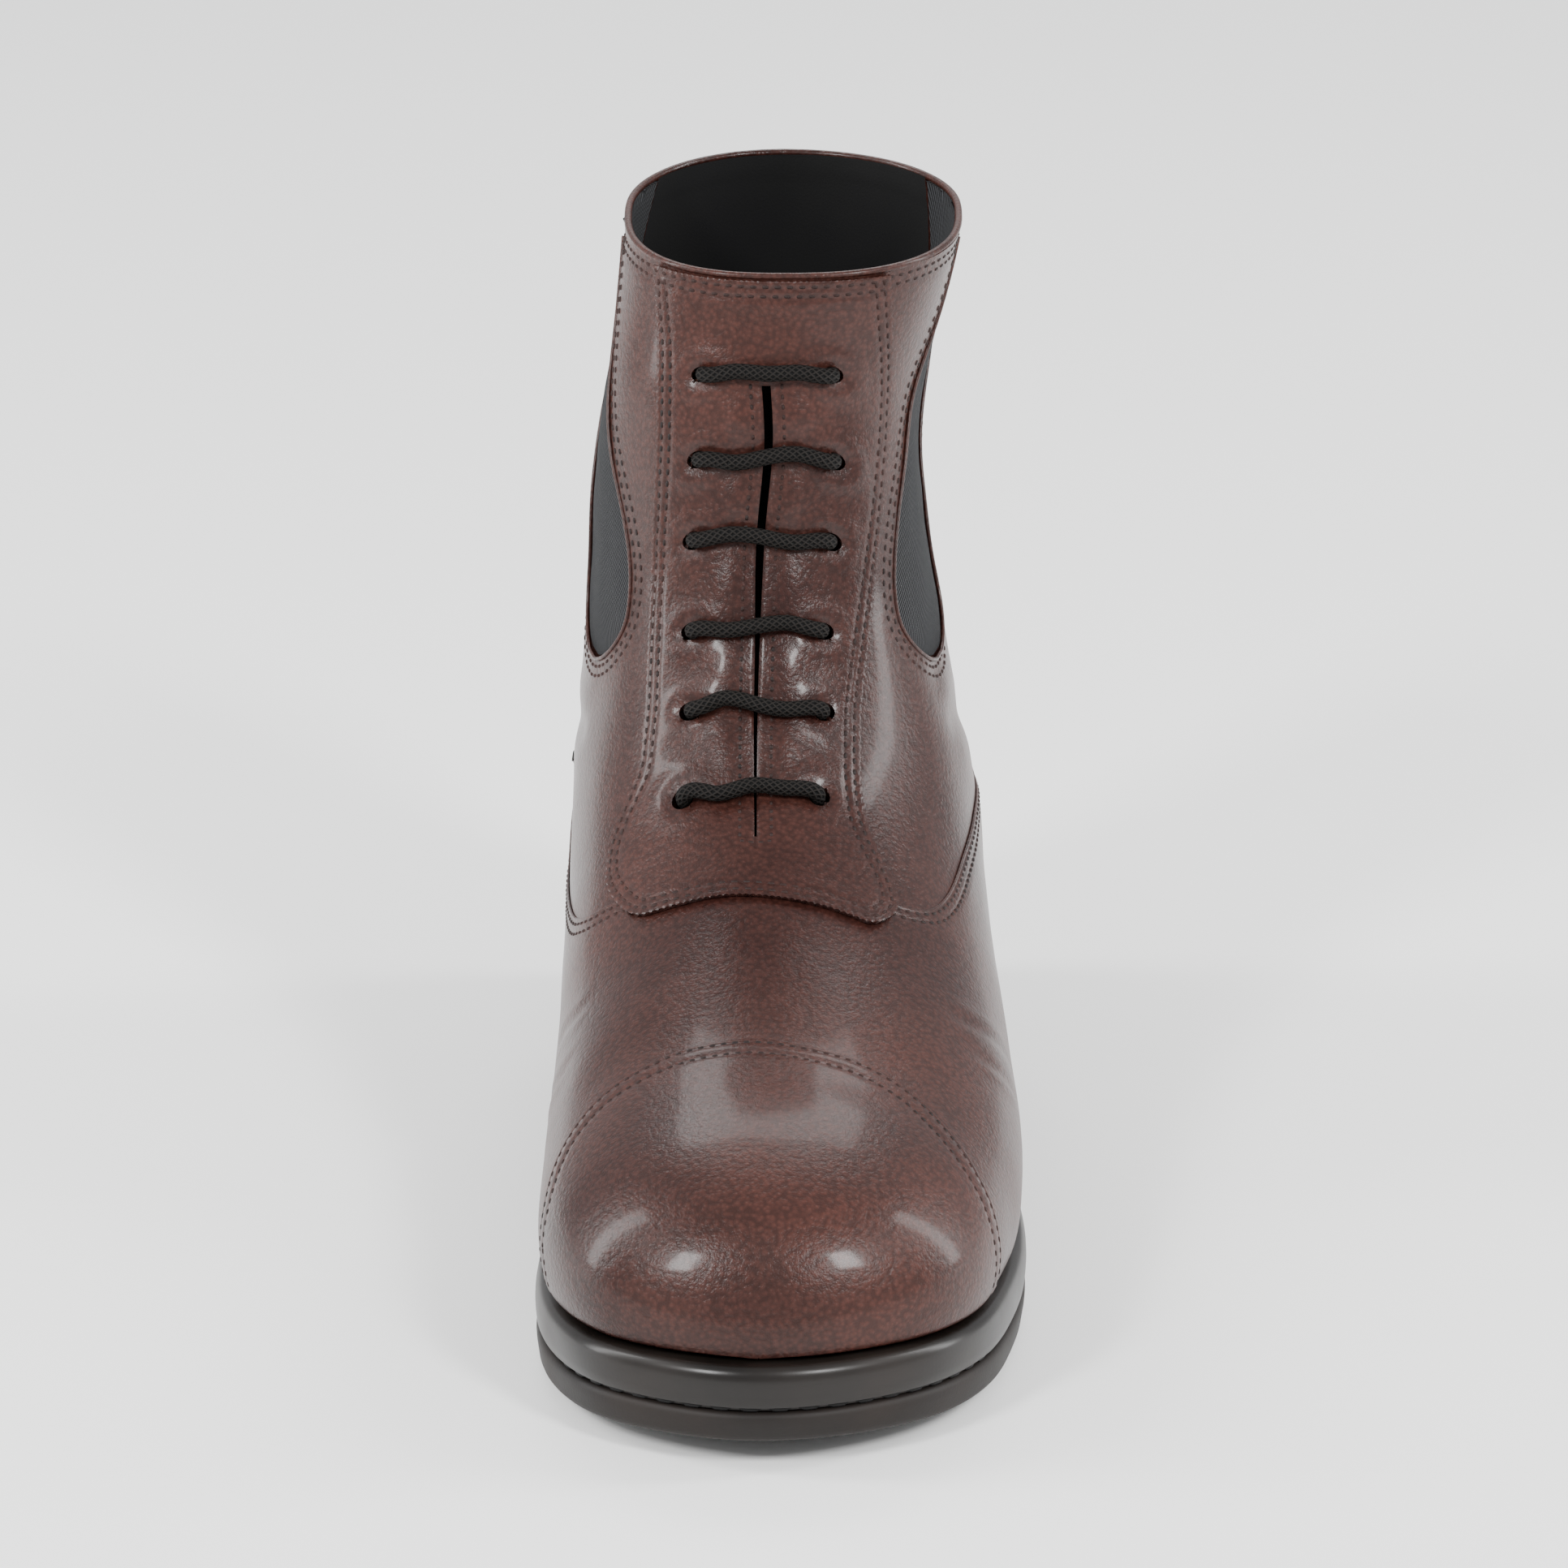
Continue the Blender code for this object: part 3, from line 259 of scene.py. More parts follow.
class Last:
    """The last's surface: a station along it, and a turn from -1 (medial edge) over 0 to 1."""

    ODD_COLUMNS = ("tall_y", "tall_z", "medial", "lateral", "medial_in", "lateral_in")

    def __init__(self) -> None:
        """Fits a spline through every column of the station table."""
        column = dict(zip(STATION_COLUMNS, np.array(STATIONS).T))
        self.seat_heights = column["back_z"][int(SEAT_STATION) - 1:int(SEAT_STATION) + 1].copy()
        column["tall_y"] = column.pop("front_y") - column["back_y"]
        column["tall_z"] = column.pop("front_z") - column["back_z"]
        for name in ("medial", "lateral"):
            column[name] = column[name] - column["ridge"]
            column[name][0] = 0
        knots = range(-MIRRORED_STATIONS, len(STATIONS))
        self.splines = {}
        for name, values in column.items():
            sign = -1 if name in self.ODD_COLUMNS else 1
            mirrored = sign * values[MIRRORED_STATIONS:0:-1]
            self.splines[name] = Spline(knots, np.concatenate([mirrored, values]))
        up_the_back = self.sizes(np.linspace(SEAT_STATION, COLLAR_STATION, 121))
        self.back_heights = up_the_back["back_z"]
        self.back_line = up_the_back["back_y"]

    def sizes(self, station: np.ndarray) -> dict:
        """Every size of the sections at these stations, with a level seat."""
        size = {name: spline(station) for name, spline in self.splines.items()}
        level = np.interp(station, (SEAT_STATION - 1, SEAT_STATION), self.seat_heights)
        is_seat = (station > SEAT_STATION - 1) & (station < SEAT_STATION)
        raised = np.where(is_seat, level - size["back_z"], 0)
        size["back_z"] = size["back_z"] + raised
        size["tall_z"] = size["tall_z"] - raised
        return size

    def closing(self, y: np.ndarray, z: np.ndarray) -> np.ndarray:
        """Share of the full width that is left where the plan outline turns round the back."""
        depth = HEEL_TURN_DEPTH + (SHAFT_TURN_DEPTH - HEEL_TURN_DEPTH) * ease(38, 57, z)
        back_y = np.interp(z, self.back_heights, self.back_line)
        behind = np.clip((y - back_y + depth) / depth, 0, 1)
        return np.sqrt(1 - behind ** HEEL_ROUNDNESS)

    def point(self, station: np.ndarray, turn: np.ndarray) -> Place:
        """Places on the last's surface, in millimetres."""
        station = np.asarray(station, float)
        turn = np.asarray(turn, float)
        size = self.sizes(station)
        width = np.where(turn < 0, size["medial"], size["lateral"])
        drawn_in = np.maximum(np.where(turn < 0, size["medial_in"], size["lateral_in"]), 0)
        edge = np.sign(turn) * np.maximum(np.abs(width) - drawn_in, 0)
        reach = np.abs(turn)
        over = np.clip((1 - reach / .5) * math.pi / 2, 0, math.pi / 2)
        under = np.clip((1 - reach) / .5 * math.pi / 2, 0, math.pi / 2)
        top = 2 / size["top"]
        low = 2 / size["low"]
        is_over = reach <= .5
        up_over = size["widest"] + (1 - size["widest"]) * np.sin(over) ** top
        up_under = size["widest"] * (1 - np.clip(np.cos(under), 0, 1) ** low)
        up = np.where(is_over, up_over, up_under)
        y = size["back_y"] + up * size["tall_y"]
        z = size["back_z"] + up * size["tall_z"]
        left = np.where((reach == 1) & (station >= SEAT_STATION), 0, self.closing(y, z))
        x_over = width * np.cos(over) ** top
        x_under = (edge + (width - edge) * np.sin(under) ** low) * left
        x = np.where(is_over, x_over, x_under) + size["ridge"]
        return np.stack([x, y, z], -1)

    def outward(self, station: np.ndarray, turn: np.ndarray) -> Place:
        """Unit normals, taken a little inside the edges, where they are well defined."""
        s = np.maximum(np.asarray(station, float), .3)
        t = np.clip(np.asarray(turn, float), -.985, .985)
        along = self.point(s + .03, t) - self.point(s - .03, t)
        across = self.point(s, t + .012) - self.point(s, t - .012)
        normal = np.cross(across, along)
        return normal / np.linalg.norm(normal, axis=-1, keepdims=True)

    def surface(self, station: np.ndarray, turn: np.ndarray, lift: np.ndarray = 0.0) -> Place:
        """Places at a height over the last's surface."""
        lift = np.asarray(lift, float)[..., None]
        return self.point(station, turn) + self.outward(station, turn) * lift

    def turn_at(self, station: np.ndarray, x: np.ndarray) -> np.ndarray:
        """Turn at which the upper arc of a section has this x."""
        station = np.asarray(station, float)
        size = self.sizes(station)
        from_ridge = np.asarray(x, float) - size["ridge"]
        width = np.where(from_ridge < 0, size["medial"], size["lateral"])
        share = np.clip(from_ridge / width, 0, 1)
        over = np.arccos(share ** (size["top"] / 2))
        reach = .5 * (1 - over / (math.pi / 2))
        return np.where(from_ridge < 0, -reach, reach)

    def on_side(self, y: np.ndarray, z: np.ndarray, side: Side) -> tuple[np.ndarray, np.ndarray]:
        """Stations and turns of the surface points that show at y, z in the side view."""
        wanted = np.stack([y, z], -1)
        grid_s, grid_t = (g.ravel() for g in np.meshgrid(np.linspace(9, 19, 60),
                                                         np.linspace(.12, .9, 50)))
        seen = self.point(grid_s, side.value * grid_t)[:, 1:]
        flat = wanted.reshape(-1, 2)
        nearest = np.array([np.argmin(((seen - place) ** 2).sum(-1)) for place in flat])
        s = grid_s[nearest].reshape(y.shape)
        t = grid_t[nearest].reshape(y.shape)
        for _ in range(8):
            here = self.point(s, side.value * t)[..., 1:]
            along = (self.point(s + .01, side.value * t)[..., 1:] - here) / .01
            across = (self.point(s, side.value * (t + .002))[..., 1:] - here) / .002
            slope = np.stack([along, across], -1)
            step = np.linalg.solve(slope, (wanted - here)[..., None])[..., 0]
            s = s + step[..., 0]
            t = t + step[..., 1]
        return s, side.value * t


LAST = Last()


def linear(hex_colour: str) -> tuple[float, float, float, float]:
    """Linear RGBA of an sRGB hex colour."""
    values = [int(hex_colour[i:i + 2], 16) / 255 for i in (1, 3, 5)]
    return (*(v / 12.92 if v <= .04045 else ((v + .055) / 1.055) ** 2.4 for v in values), 1.0)


def add_node(tree: bpy.types.NodeTree, kind: str, links: Optional[dict] = None,
             **settings: object) -> bpy.types.Node:
    """Adds a shader node.

    Args:
        tree: Tree that takes the node.
        kind: Blender's name of the node type.
        links: Input name or number to an output socket or a constant.
        settings: Properties of the node.

    Returns:
        The node.
    """
    node = tree.nodes.new(kind)
    for name, value in settings.items():
        setattr(node, name, value)
    for name, value in (links or {}).items():
        if isinstance(value, bpy.types.NodeSocket):
            tree.links.new(value, node.inputs[name])
        else:
            node.inputs[name].default_value = value
    return node


def ramp(tree: bpy.types.NodeTree, factor: bpy.types.NodeSocket,
         stops: Sequence[tuple[float, str]]) -> bpy.types.NodeSocket:
    """Colour ramp with hex stops, as its colour output."""
    node = add_node(tree, "ShaderNodeValToRGB", {"Fac": factor})
    while len(node.color_ramp.elements) < len(stops):
        node.color_ramp.elements.new(.5)
    for element, (position, colour) in zip(node.color_ramp.elements, stops):
        element.position = position
        element.color = linear(colour)
    return node.outputs["Color"]


def start_material(name: str, settings: dict) -> tuple[bpy.types.Material, bpy.types.NodeTree,
                                                       bpy.types.Node]:
    """New material with constants on its Principled shader."""
    made = bpy.data.materials.new(name)
    made.use_nodes = True
    shader = made.node_tree.nodes["Principled BSDF"]
    for socket, value in settings.items():
        shader.inputs[socket].default_value = value
    return made, made.node_tree, shader


def noise_map(tree: bpy.types.NodeTree, place: bpy.types.NodeSocket, size_mm: float,
              detail: float = 3.0) -> bpy.types.NodeSocket:
    """Noise whose features have about this size."""
    return add_node(tree, "ShaderNodeTexNoise", {
        "Vector": place, "Scale": 1 / (size_mm * MM), "Detail": detail}).outputs["Fac"]


def combine(tree: bpy.types.NodeTree, operation: str, first: bpy.types.NodeSocket,
            second: object) -> bpy.types.NodeSocket:
    """Result of one arithmetic operation on an output and an output or a number."""
    return add_node(tree, "ShaderNodeMath", {0: first, 1: second}, operation=operation).outputs[0]


def turned(tree: bpy.types.NodeTree, place: bpy.types.NodeSocket, degrees: float
           ) -> bpy.types.NodeSocket:
    """Coordinates turned in their plane."""
    return add_node(tree, "ShaderNodeMapping", {
        "Vector": place, "Rotation": (0.0, 0.0, math.radians(degrees))}).outputs["Vector"]


def add_wear(tree: bpy.types.NodeTree, shader: bpy.types.Node, cloud: bpy.types.NodeSocket,
             smoothest: float, roughest: float) -> None:
    """Lets a noise map move the shader's roughness between two values."""
    wear = add_node(tree, "ShaderNodeMapRange", {
        "Value": cloud, "From Min": .3, "From Max": .7, "To Min": smoothest,
        "To Max": roughest}).outputs[0]
    tree.links.new(wear, shader.inputs["Roughness"])


def add_relief(tree: bpy.types.NodeTree, shader: bpy.types.Node, height: bpy.types.NodeSocket,
               strength: float, depth_mm: float, invert: bool = False) -> None:
    """Adds relief to the shader, over any relief that it already has.

    Args:
        tree: Tree of the material.
        shader: Shader that takes the relief.
        height: Map of heights.
        strength: Share of the relief that shows.
        depth_mm: Height that a full step of the map stands for.
        invert: Whether high values go inwards.
    """
    bump = add_node(tree, "ShaderNodeBump", {
        "Height": height, "Strength": strength, "Distance": depth_mm * MM}, invert=invert)
    below = [link.from_socket for link in shader.inputs["Normal"].links]
    for socket in below:
        tree.links.new(socket, bump.inputs["Normal"])
    tree.links.new(bump.outputs["Normal"], shader.inputs["Normal"])


@dataclass(frozen=True)
class PolishedLeather:
    """Full-grain cowhide, aniline dyed, waxed and brushed: a deep brown under a soft clear gloss.

    The wax levels the fine pebble grain, so highlights stay long but break into small speckles.
    The colour also carries painted shade in the hollows between pebbles and a painted highlight
    on their tops.
    """

    name: str = "Waxed cowhide"
    dark: str = "#26120f"
    mid: str = "#361e19"
    warm: str = "#42231c"
    pebble_mm: float = 1.0
    cloud_mm: float = 52.0
    pore_mm: float = .45
    ripple_mm: float = 9
    roughness: float = .30
    relief: float = .5

    def make(self) -> bpy.types.Material:
        """The leather's material."""
        made, tree, shader = start_material(self.name, {
            "Specular IOR Level": .24, "IOR": 1.45, "Coat Weight": .12, "Coat Roughness": .12,
            "Coat IOR": 1.5})
        place = add_node(tree, "ShaderNodeTexCoord").outputs["Object"]
        cloud = noise_map(tree, place, self.cloud_mm)
        colour = ramp(tree, cloud, ((.28, self.dark), (.52, self.mid), (.78, self.warm)))
        # Painted shade and highlight: the colour is darkened in the sunk hollows between pebbles
        # and lightened on the pebbles' tops.
        pebbles = add_node(tree, "ShaderNodeTexVoronoi", {
            "Vector": place, "Scale": 1 / (self.pebble_mm * MM), "Randomness": 1.0},
            feature="SMOOTH_F1").outputs["Distance"]
        shade = add_node(tree, "ShaderNodeMapRange", {
            "Value": pebbles, "From Min": .1, "From Max": .6, "To Min": 1.3,
            "To Max": .66}).outputs[0]
        pebble_shaded_colour = add_node(tree, "ShaderNodeVectorMath", {0: colour, "Scale": shade},
                           operation="SCALE").outputs[0]
        tree.links.new(pebble_shaded_colour, shader.inputs["Base Color"])
        pores = noise_map(tree, place, self.pore_mm, 2.0)
        grain = combine(tree, "ADD", pebbles, pores)
        add_relief(tree, shader, grain, self.relief, .2, invert=True)
        add_relief(tree, shader, noise_map(tree, place, self.ripple_mm), .2, .5)
        add_wear(tree, shader, cloud, self.roughness - .05, self.roughness + .09)
        return made


@dataclass(frozen=True)
class BootElastic:
    """Woven elastic twill of rubber core and polyester: dull dark grey with fine slanting ribs."""

    name: str = "Elastic twill"
    # Colours of the ribs' grooves and crests: painted shade and painted highlight of the weave.
    dark: str = "#0b0b0c"
    light: str = "#3a3b3d"
    rib_mm: float = 1.3
    weft_mm: float = .9
    slant: float = 38

    def make(self) -> bpy.types.Material:
        """The elastic's material, which follows the piece's own UV map in centimetres."""
        made, tree, shader = start_material(self.name, {
            "Specular IOR Level": .12, "Sheen Weight": .02, "Sheen Roughness": .5,
            "Roughness": .85})
        place = add_node(tree, "ShaderNodeUVMap", uv_map="weave").outputs["UV"]
        ribs = add_node(tree, "ShaderNodeTexWave", {
            "Vector": turned(tree, place, self.slant), "Scale": 10 / self.rib_mm / 2,
            "Distortion": .25, "Detail": 1.0, "Detail Scale": 3.0}).outputs["Fac"]
        weft = add_node(tree, "ShaderNodeTexWave", {
            "Vector": place, "Scale": 10 / self.weft_mm / 2}, bands_direction="Y").outputs["Fac"]
        height = combine(tree, "ADD", ribs, combine(tree, "MULTIPLY", weft, .35))
        # Painted shade and highlight: the colour follows the ribs' relief, dark in their grooves
        # and lighter on their crests.
        tree.links.new(ramp(tree, ribs, ((.2, self.dark), (.8, self.light))),
                       shader.inputs["Base Color"])
        add_relief(tree, shader, height, .8, .35)
        return made


@dataclass(frozen=True)
class BraidedCord:
    """Round elastic lace in a tight polyester braid: near black, with small lit yarns."""

    name: str = "Braided lace"
    # Colours of the braid's hollows and strand crests: painted shade and painted highlight.
    dark: str = "#020202"
    light: str = "#1e1b19"
    slant: float = 40

    def make(self) -> bpy.types.Material:
        """The lace's material, which follows the cord's UV map: x round it, y along it in cm."""
        made, tree, shader = start_material(self.name, {
            "Specular IOR Level": .12, "Sheen Weight": 0.0, "Sheen Roughness": .4,
            "Roughness": .65})
        place = add_node(tree, "ShaderNodeUVMap", uv_map="weave").outputs["UV"]
        strands = [add_node(tree, "ShaderNodeTexWave", {
            "Vector": turned(tree, place, angle), "Scale": 3.0}).outputs["Fac"]
            for angle in (self.slant, -self.slant)]
        braid = combine(tree, "MAXIMUM", *strands)
        # Painted highlight: the raised strands are coloured lighter than the hollows between them,
        # which carry painted shade.
        tree.links.new(ramp(tree, braid, ((.45, self.dark), (1.0, self.light))),
                       shader.inputs["Base Color"])
        add_relief(tree, shader, braid, .9, .5)
        return made


@dataclass(frozen=True)
class PlainFinish:
    """Finish with one pair of colours and a fine relief.

    Used for moulded rubber, whose skin is smooth with a faint mould texture, for lining textile,
    which is matte and fibrous, and for waxed sewing thread, which glints a little.
    """

    name: str
    dark: str
    light: str
    roughness: float
    grain_mm: float
    relief: float
    coat: float = 0.0
    cloud_mm: float = 24

    def make(self) -> bpy.types.Material:
        """The finish's material."""
        made, tree, shader = start_material(self.name, {
            "Specular IOR Level": .25, "Coat Weight": self.coat, "Coat Roughness": .22,
            "Sheen Roughness": .5})
        place = add_node(tree, "ShaderNodeTexCoord").outputs["Object"]
        cloud = noise_map(tree, place, self.cloud_mm)
        tree.links.new(ramp(tree, cloud, ((.35, self.dark), (.7, self.light))),
                       shader.inputs["Base Color"])
        add_wear(tree, shader, cloud, self.roughness - .05, self.roughness + .08)
        add_relief(tree, shader, noise_map(tree, place, self.grain_mm), self.relief, .15)
        return made


MOULDED_RUBBER = PlainFinish("Moulded rubber", "#0e0b09", "#1b1613", .34, .8, .10, coat=.12)
TREAD_RUBBER = PlainFinish("Tread rubber", "#130f0d", "#201a17", .55, .6, .25)
LINING_TEXTILE = PlainFinish("Lining textile", "#040404", "#080809", .9, .5, .5)
SOCK_LINER = PlainFinish("Sock liner", "#2a1a12", "#3c261a", .7, .9, .3)
WAXED_THREAD = PlainFinish("Waxed thread", "#120806", "#2a1510", .6, .3, .5)
SOLE_THREAD = PlainFinish("Sole thread", "#040404", "#0c0b0b", .6, .3, .5)


class Workshop:
    """Makes meshes and objects, and keeps the finishes that pieces share."""

    def __init__(self) -> None:
        """Makes every finish once."""
        self.leather = PolishedLeather().make()
        self.elastic = BootElastic().make()
        self.braid = BraidedCord().make()
        self.rubber = MOULDED_RUBBER.make()
        self.tread = TREAD_RUBBER.make()
        self.lining = LINING_TEXTILE.make()
        self.sock = SOCK_LINER.make()
        self.thread = WAXED_THREAD.make()
        self.sole_thread = SOLE_THREAD.make()

    @staticmethod
    def place(points: Place) -> Place:
        """Boot millimetres as metres about the middle of the footprint."""
        return (np.asarray(points, float) - (CENTRE_X, CENTRE_Y, 0)) * MM

    def grid(self, points: Place, weave: Optional[Place] = None, merge_mm: float = .002,
             outward: Optional[Place] = None, keep: Optional[np.ndarray] = None
             ) -> bmesh.types.BMesh:
        """Grid shaped to places.

        Args:
            points: Places in millimetres, rows by columns by 3.
            weave: UV of each place, rows by columns by 2.
            merge_mm: Distance within which points are merged, so that seams and poles close.
            outward: Rough outward direction at the grid's middle. None turns faces outwards
                after the merge, for a closed shape.
            keep: Which faces stay, rows - 1 by columns - 1. None keeps all.

        Returns:
            The mesh, for more operators.
        """
        rows, columns = points.shape[:2]
        maker = bmesh.new()
        bmesh.ops.create_grid(maker, x_segments=columns - 1, y_segments=rows - 1, size=1)
        flat = self.place(points).reshape(-1, 3)
        for vert, target in zip(maker.verts, flat.tolist()):
            vert.co = target
        if weave is not None:
            layer = maker.loops.layers.uv.new("weave")
            at = weave.reshape(-1, 2)
            for face in maker.faces:
                for loop in face.loops:
                    loop[layer].uv = at[loop.vert.index]
        maker.faces.ensure_lookup_table()
        middle = maker.faces[(rows - 1) // 2 * (columns - 1) + (columns - 1) // 2]
        middle.normal_update()
        flip = outward is not None and middle.normal.dot(Vector(outward)) < 0
        if keep is not None:
            gone = [face for face, stays in zip(maker.faces, keep.ravel()) if not stays]
            bmesh.ops.delete(maker, geom=gone, context="FACES")
        bmesh.ops.remove_doubles(maker, verts=maker.verts[:], dist=merge_mm * MM)
        bmesh.ops.dissolve_degenerate(maker, edges=maker.edges[:], dist=merge_mm * MM / 4)
        if outward is None:
            bmesh.ops.recalc_face_normals(maker, faces=maker.faces[:])
        elif flip:
            bmesh.ops.reverse_faces(maker, faces=maker.faces[:])
        return maker

    @staticmethod
    def finish(maker: bmesh.types.BMesh, name: str, materials: Sequence[bpy.types.Material],
               angle: float = SMOOTH_ANGLE) -> bpy.types.Object:
        """Object at the origin made of the mesh, shaded smooth up to an angle in degrees."""
        mesh = bpy.data.meshes.new(name)
        maker.to_mesh(mesh)
        maker.free()
        mesh.shade_smooth()
        mesh.set_sharp_from_angle(angle=math.radians(angle))
        made = bpy.data.objects.new(name, mesh)
        bpy.context.scene.collection.objects.link(made)
        for finish in materials:
            mesh.materials.append(finish)
        return made

    @staticmethod
    def thicken(piece: bpy.types.Object, thick: float, inner_slot: int = 0) -> None:
        """Gives a sheet its wall, inwards from its outer face, in millimetres."""
        wall = piece.modifiers.new("wall", "SOLIDIFY")
        wall.thickness = thick * MM
        wall.offset = -1
        wall.use_even_offset = False
        wall.material_offset = inner_slot
        wall.use_rim = True

    @staticmethod
    def apply(piece: bpy.types.Object) -> None:
        """Replaces the piece's mesh by what its modifiers make."""
        shape = piece.evaluated_get(bpy.context.evaluated_depsgraph_get())
        mesh = bpy.data.meshes.new_from_object(shape)
        piece.modifiers.clear()
        piece.data = mesh
        mesh.shade_smooth()
        mesh.set_sharp_from_angle(angle=math.radians(SMOOTH_ANGLE))

    def cut(self, piece: bpy.types.Object, cutters: Sequence[bpy.types.Object]) -> None:
        """Cuts other solids out of a piece and removes them."""
        for cutter in cutters:
            boolean = piece.modifiers.new("cut", "BOOLEAN")
            boolean.operation = "DIFFERENCE"
            boolean.solver = "EXACT"
            boolean.object = cutter
        self.apply(piece)
        for cutter in cutters:
            bpy.data.objects.remove(cutter, do_unlink=True)

    def block(self, name: str, stations: np.ndarray, turns: np.ndarray, low: float, high: float
              ) -> bpy.types.Object:
        """Closed solid between two heights over the last, for cutting leather."""
        maker = bmesh.new()
        bmesh.ops.create_grid(maker, x_segments=stations.shape[1] - 1,
                              y_segments=stations.shape[0] - 1, size=1)
        order = maker.verts.layers.int.new("order")
        for k, vert in enumerate(maker.verts):
            vert[order] = k
        for lift in (high, low):
            places = self.place(LAST.surface(stations, turns, lift)).reshape(-1, 3)
            if lift == low:
                raised = bmesh.ops.extrude_face_region(maker, geom=maker.faces[:])["geom"]
                moving = [item for item in raised if isinstance(item, bmesh.types.BMVert)]
            else:
                moving = maker.verts[:]
            for vert in moving:
                vert.co = places[vert[order]]
        bmesh.ops.recalc_face_normals(maker, faces=maker.faces[:])
        return self.finish(maker, name, ())

    def sheet(self, name: str, stations: np.ndarray, turns: np.ndarray, lift: np.ndarray,
              thick: float, materials: Sequence[bpy.types.Material],
              weave: Optional[Place] = None, keep: Optional[np.ndarray] = None
              ) -> bpy.types.Object:
        """Sheet over the last, with its wall still a modifier.

        Args:
            name: Name of the piece.
            stations: Station at each place of the grid.
            turns: Turn at each place of the grid.
            lift: Height of the outer face over the last.
            thick: Wall in millimetres, inwards. With a second material it is lined.
            materials: Outer finish, and the lining's where there is one.
            weave: UV of each place.
            keep: Which faces of the grid stay.

        Returns:
            The object.
        """
        points = LAST.surface(stations, turns, np.broadcast_to(lift, stations.shape))
        i, j = (size // 2 for size in stations.shape)
        out = LAST.outward(stations[i, j], turns[i, j])
        maker = self.grid(points, weave, outward=out, keep=keep)
        piece = self.finish(maker, name, materials)
        self.thicken(piece, thick, len(materials) - 1)
        return piece

    def cord(self, name: str, route: Place, radius: float, sides: int,
             finish: bpy.types.Material) -> bpy.types.Object:
        """Round cord along a route, closed at its ends or into a ring.

        Args:
            name: Name of the piece.
            route: Places of its middle line.
            radius: Radius in millimetres.
            sides: Sides of the cord.
            finish: Its material.

        Returns:
            The object.
        """
        along = np.gradient(route, axis=0)
        along /= np.linalg.norm(along, axis=1, keepdims=True)
        across = np.zeros_like(along)
        across[0] = np.cross(along[0], (0.3, .2, .9))
        for k in range(1, len(route)):
            across[k] = across[k - 1] - along[k] * (across[k - 1] @ along[k])
            across[k] /= np.linalg.norm(across[k])
        across[0] /= np.linalg.norm(across[0])
        up = np.cross(along, across)
        angle = np.linspace(0, 2 * math.pi, sides + 1)
        ring = (across[:, None] * np.cos(angle)[None, :, None]
                + up[:, None] * np.sin(angle)[None, :, None])
        points = route[:, None] + ring * radius
        ends = np.repeat(route[[0, -1]][:, None], sides + 1, 1)
        points = np.concatenate([ends[:1], points, ends[1:]])
        run = np.concatenate([[0], np.cumsum(np.linalg.norm(np.diff(route, axis=0), axis=1))])
        run = np.concatenate([run[:1], run, run[-1:]])
        weave = np.stack(np.broadcast_arrays(angle[None, :] * radius / 10, run[:, None] / 10), -1)
        maker = self.grid(points, weave)
        return self.finish(maker, name, (finish,), SMOOTH_ANGLE_ROUND)


class Skin:
    """Outer faces of some pieces, found from outside."""

    REACH = 8.0 * MM

    def __init__(self, *pieces: bpy.types.Object) -> None:
        """Makes a search tree over each piece as its modifiers leave it."""
        graph = bpy.context.evaluated_depsgraph_get()
        self.trees = [BVHTree.FromObject(piece, graph) for piece in pieces]

    def land(self, place: Vector, out: Vector) -> Optional[tuple[Vector, Vector]]:
        """Point and normal of the outermost face over or under a place, in metres."""
        hits = [tree.ray_cast(place + out * self.REACH, -out, 2 * self.REACH)
                for tree in self.trees]
        hits = [hit for hit in hits if hit[0] is not None]
        return min(hits, key=lambda hit: hit[3])[:2] if hits else None


@dataclass
class Seam:
    """Line along a seam: places in millimetres, and the outward direction at each."""

    points: Place
    out: Place

    @classmethod
    def on_last(cls, stations: np.ndarray, turns: np.ndarray, lift: float) -> Seam:
        """Seam at a height over the last."""
        return cls(LAST.surface(stations, turns, lift), LAST.outward(stations, turns))

    def beside(self, shift: float) -> Seam:
        """Line beside the seam, to the left of the way along when seen from outside.

        Where the seam turns a tight corner, the part of the new line that would cross itself
        is left out.
        """
        along = np.gradient(self.points, axis=0)
        across = np.cross(self.out, along)
        across /= np.linalg.norm(across, axis=1, keepdims=True)
        moved = self.points + across * shift
        clear = np.array([np.linalg.norm(self.points - place, axis=1).min() for place in moved])
        keep = clear > abs(shift) - .2
        return Seam(moved[keep], self.out[keep])


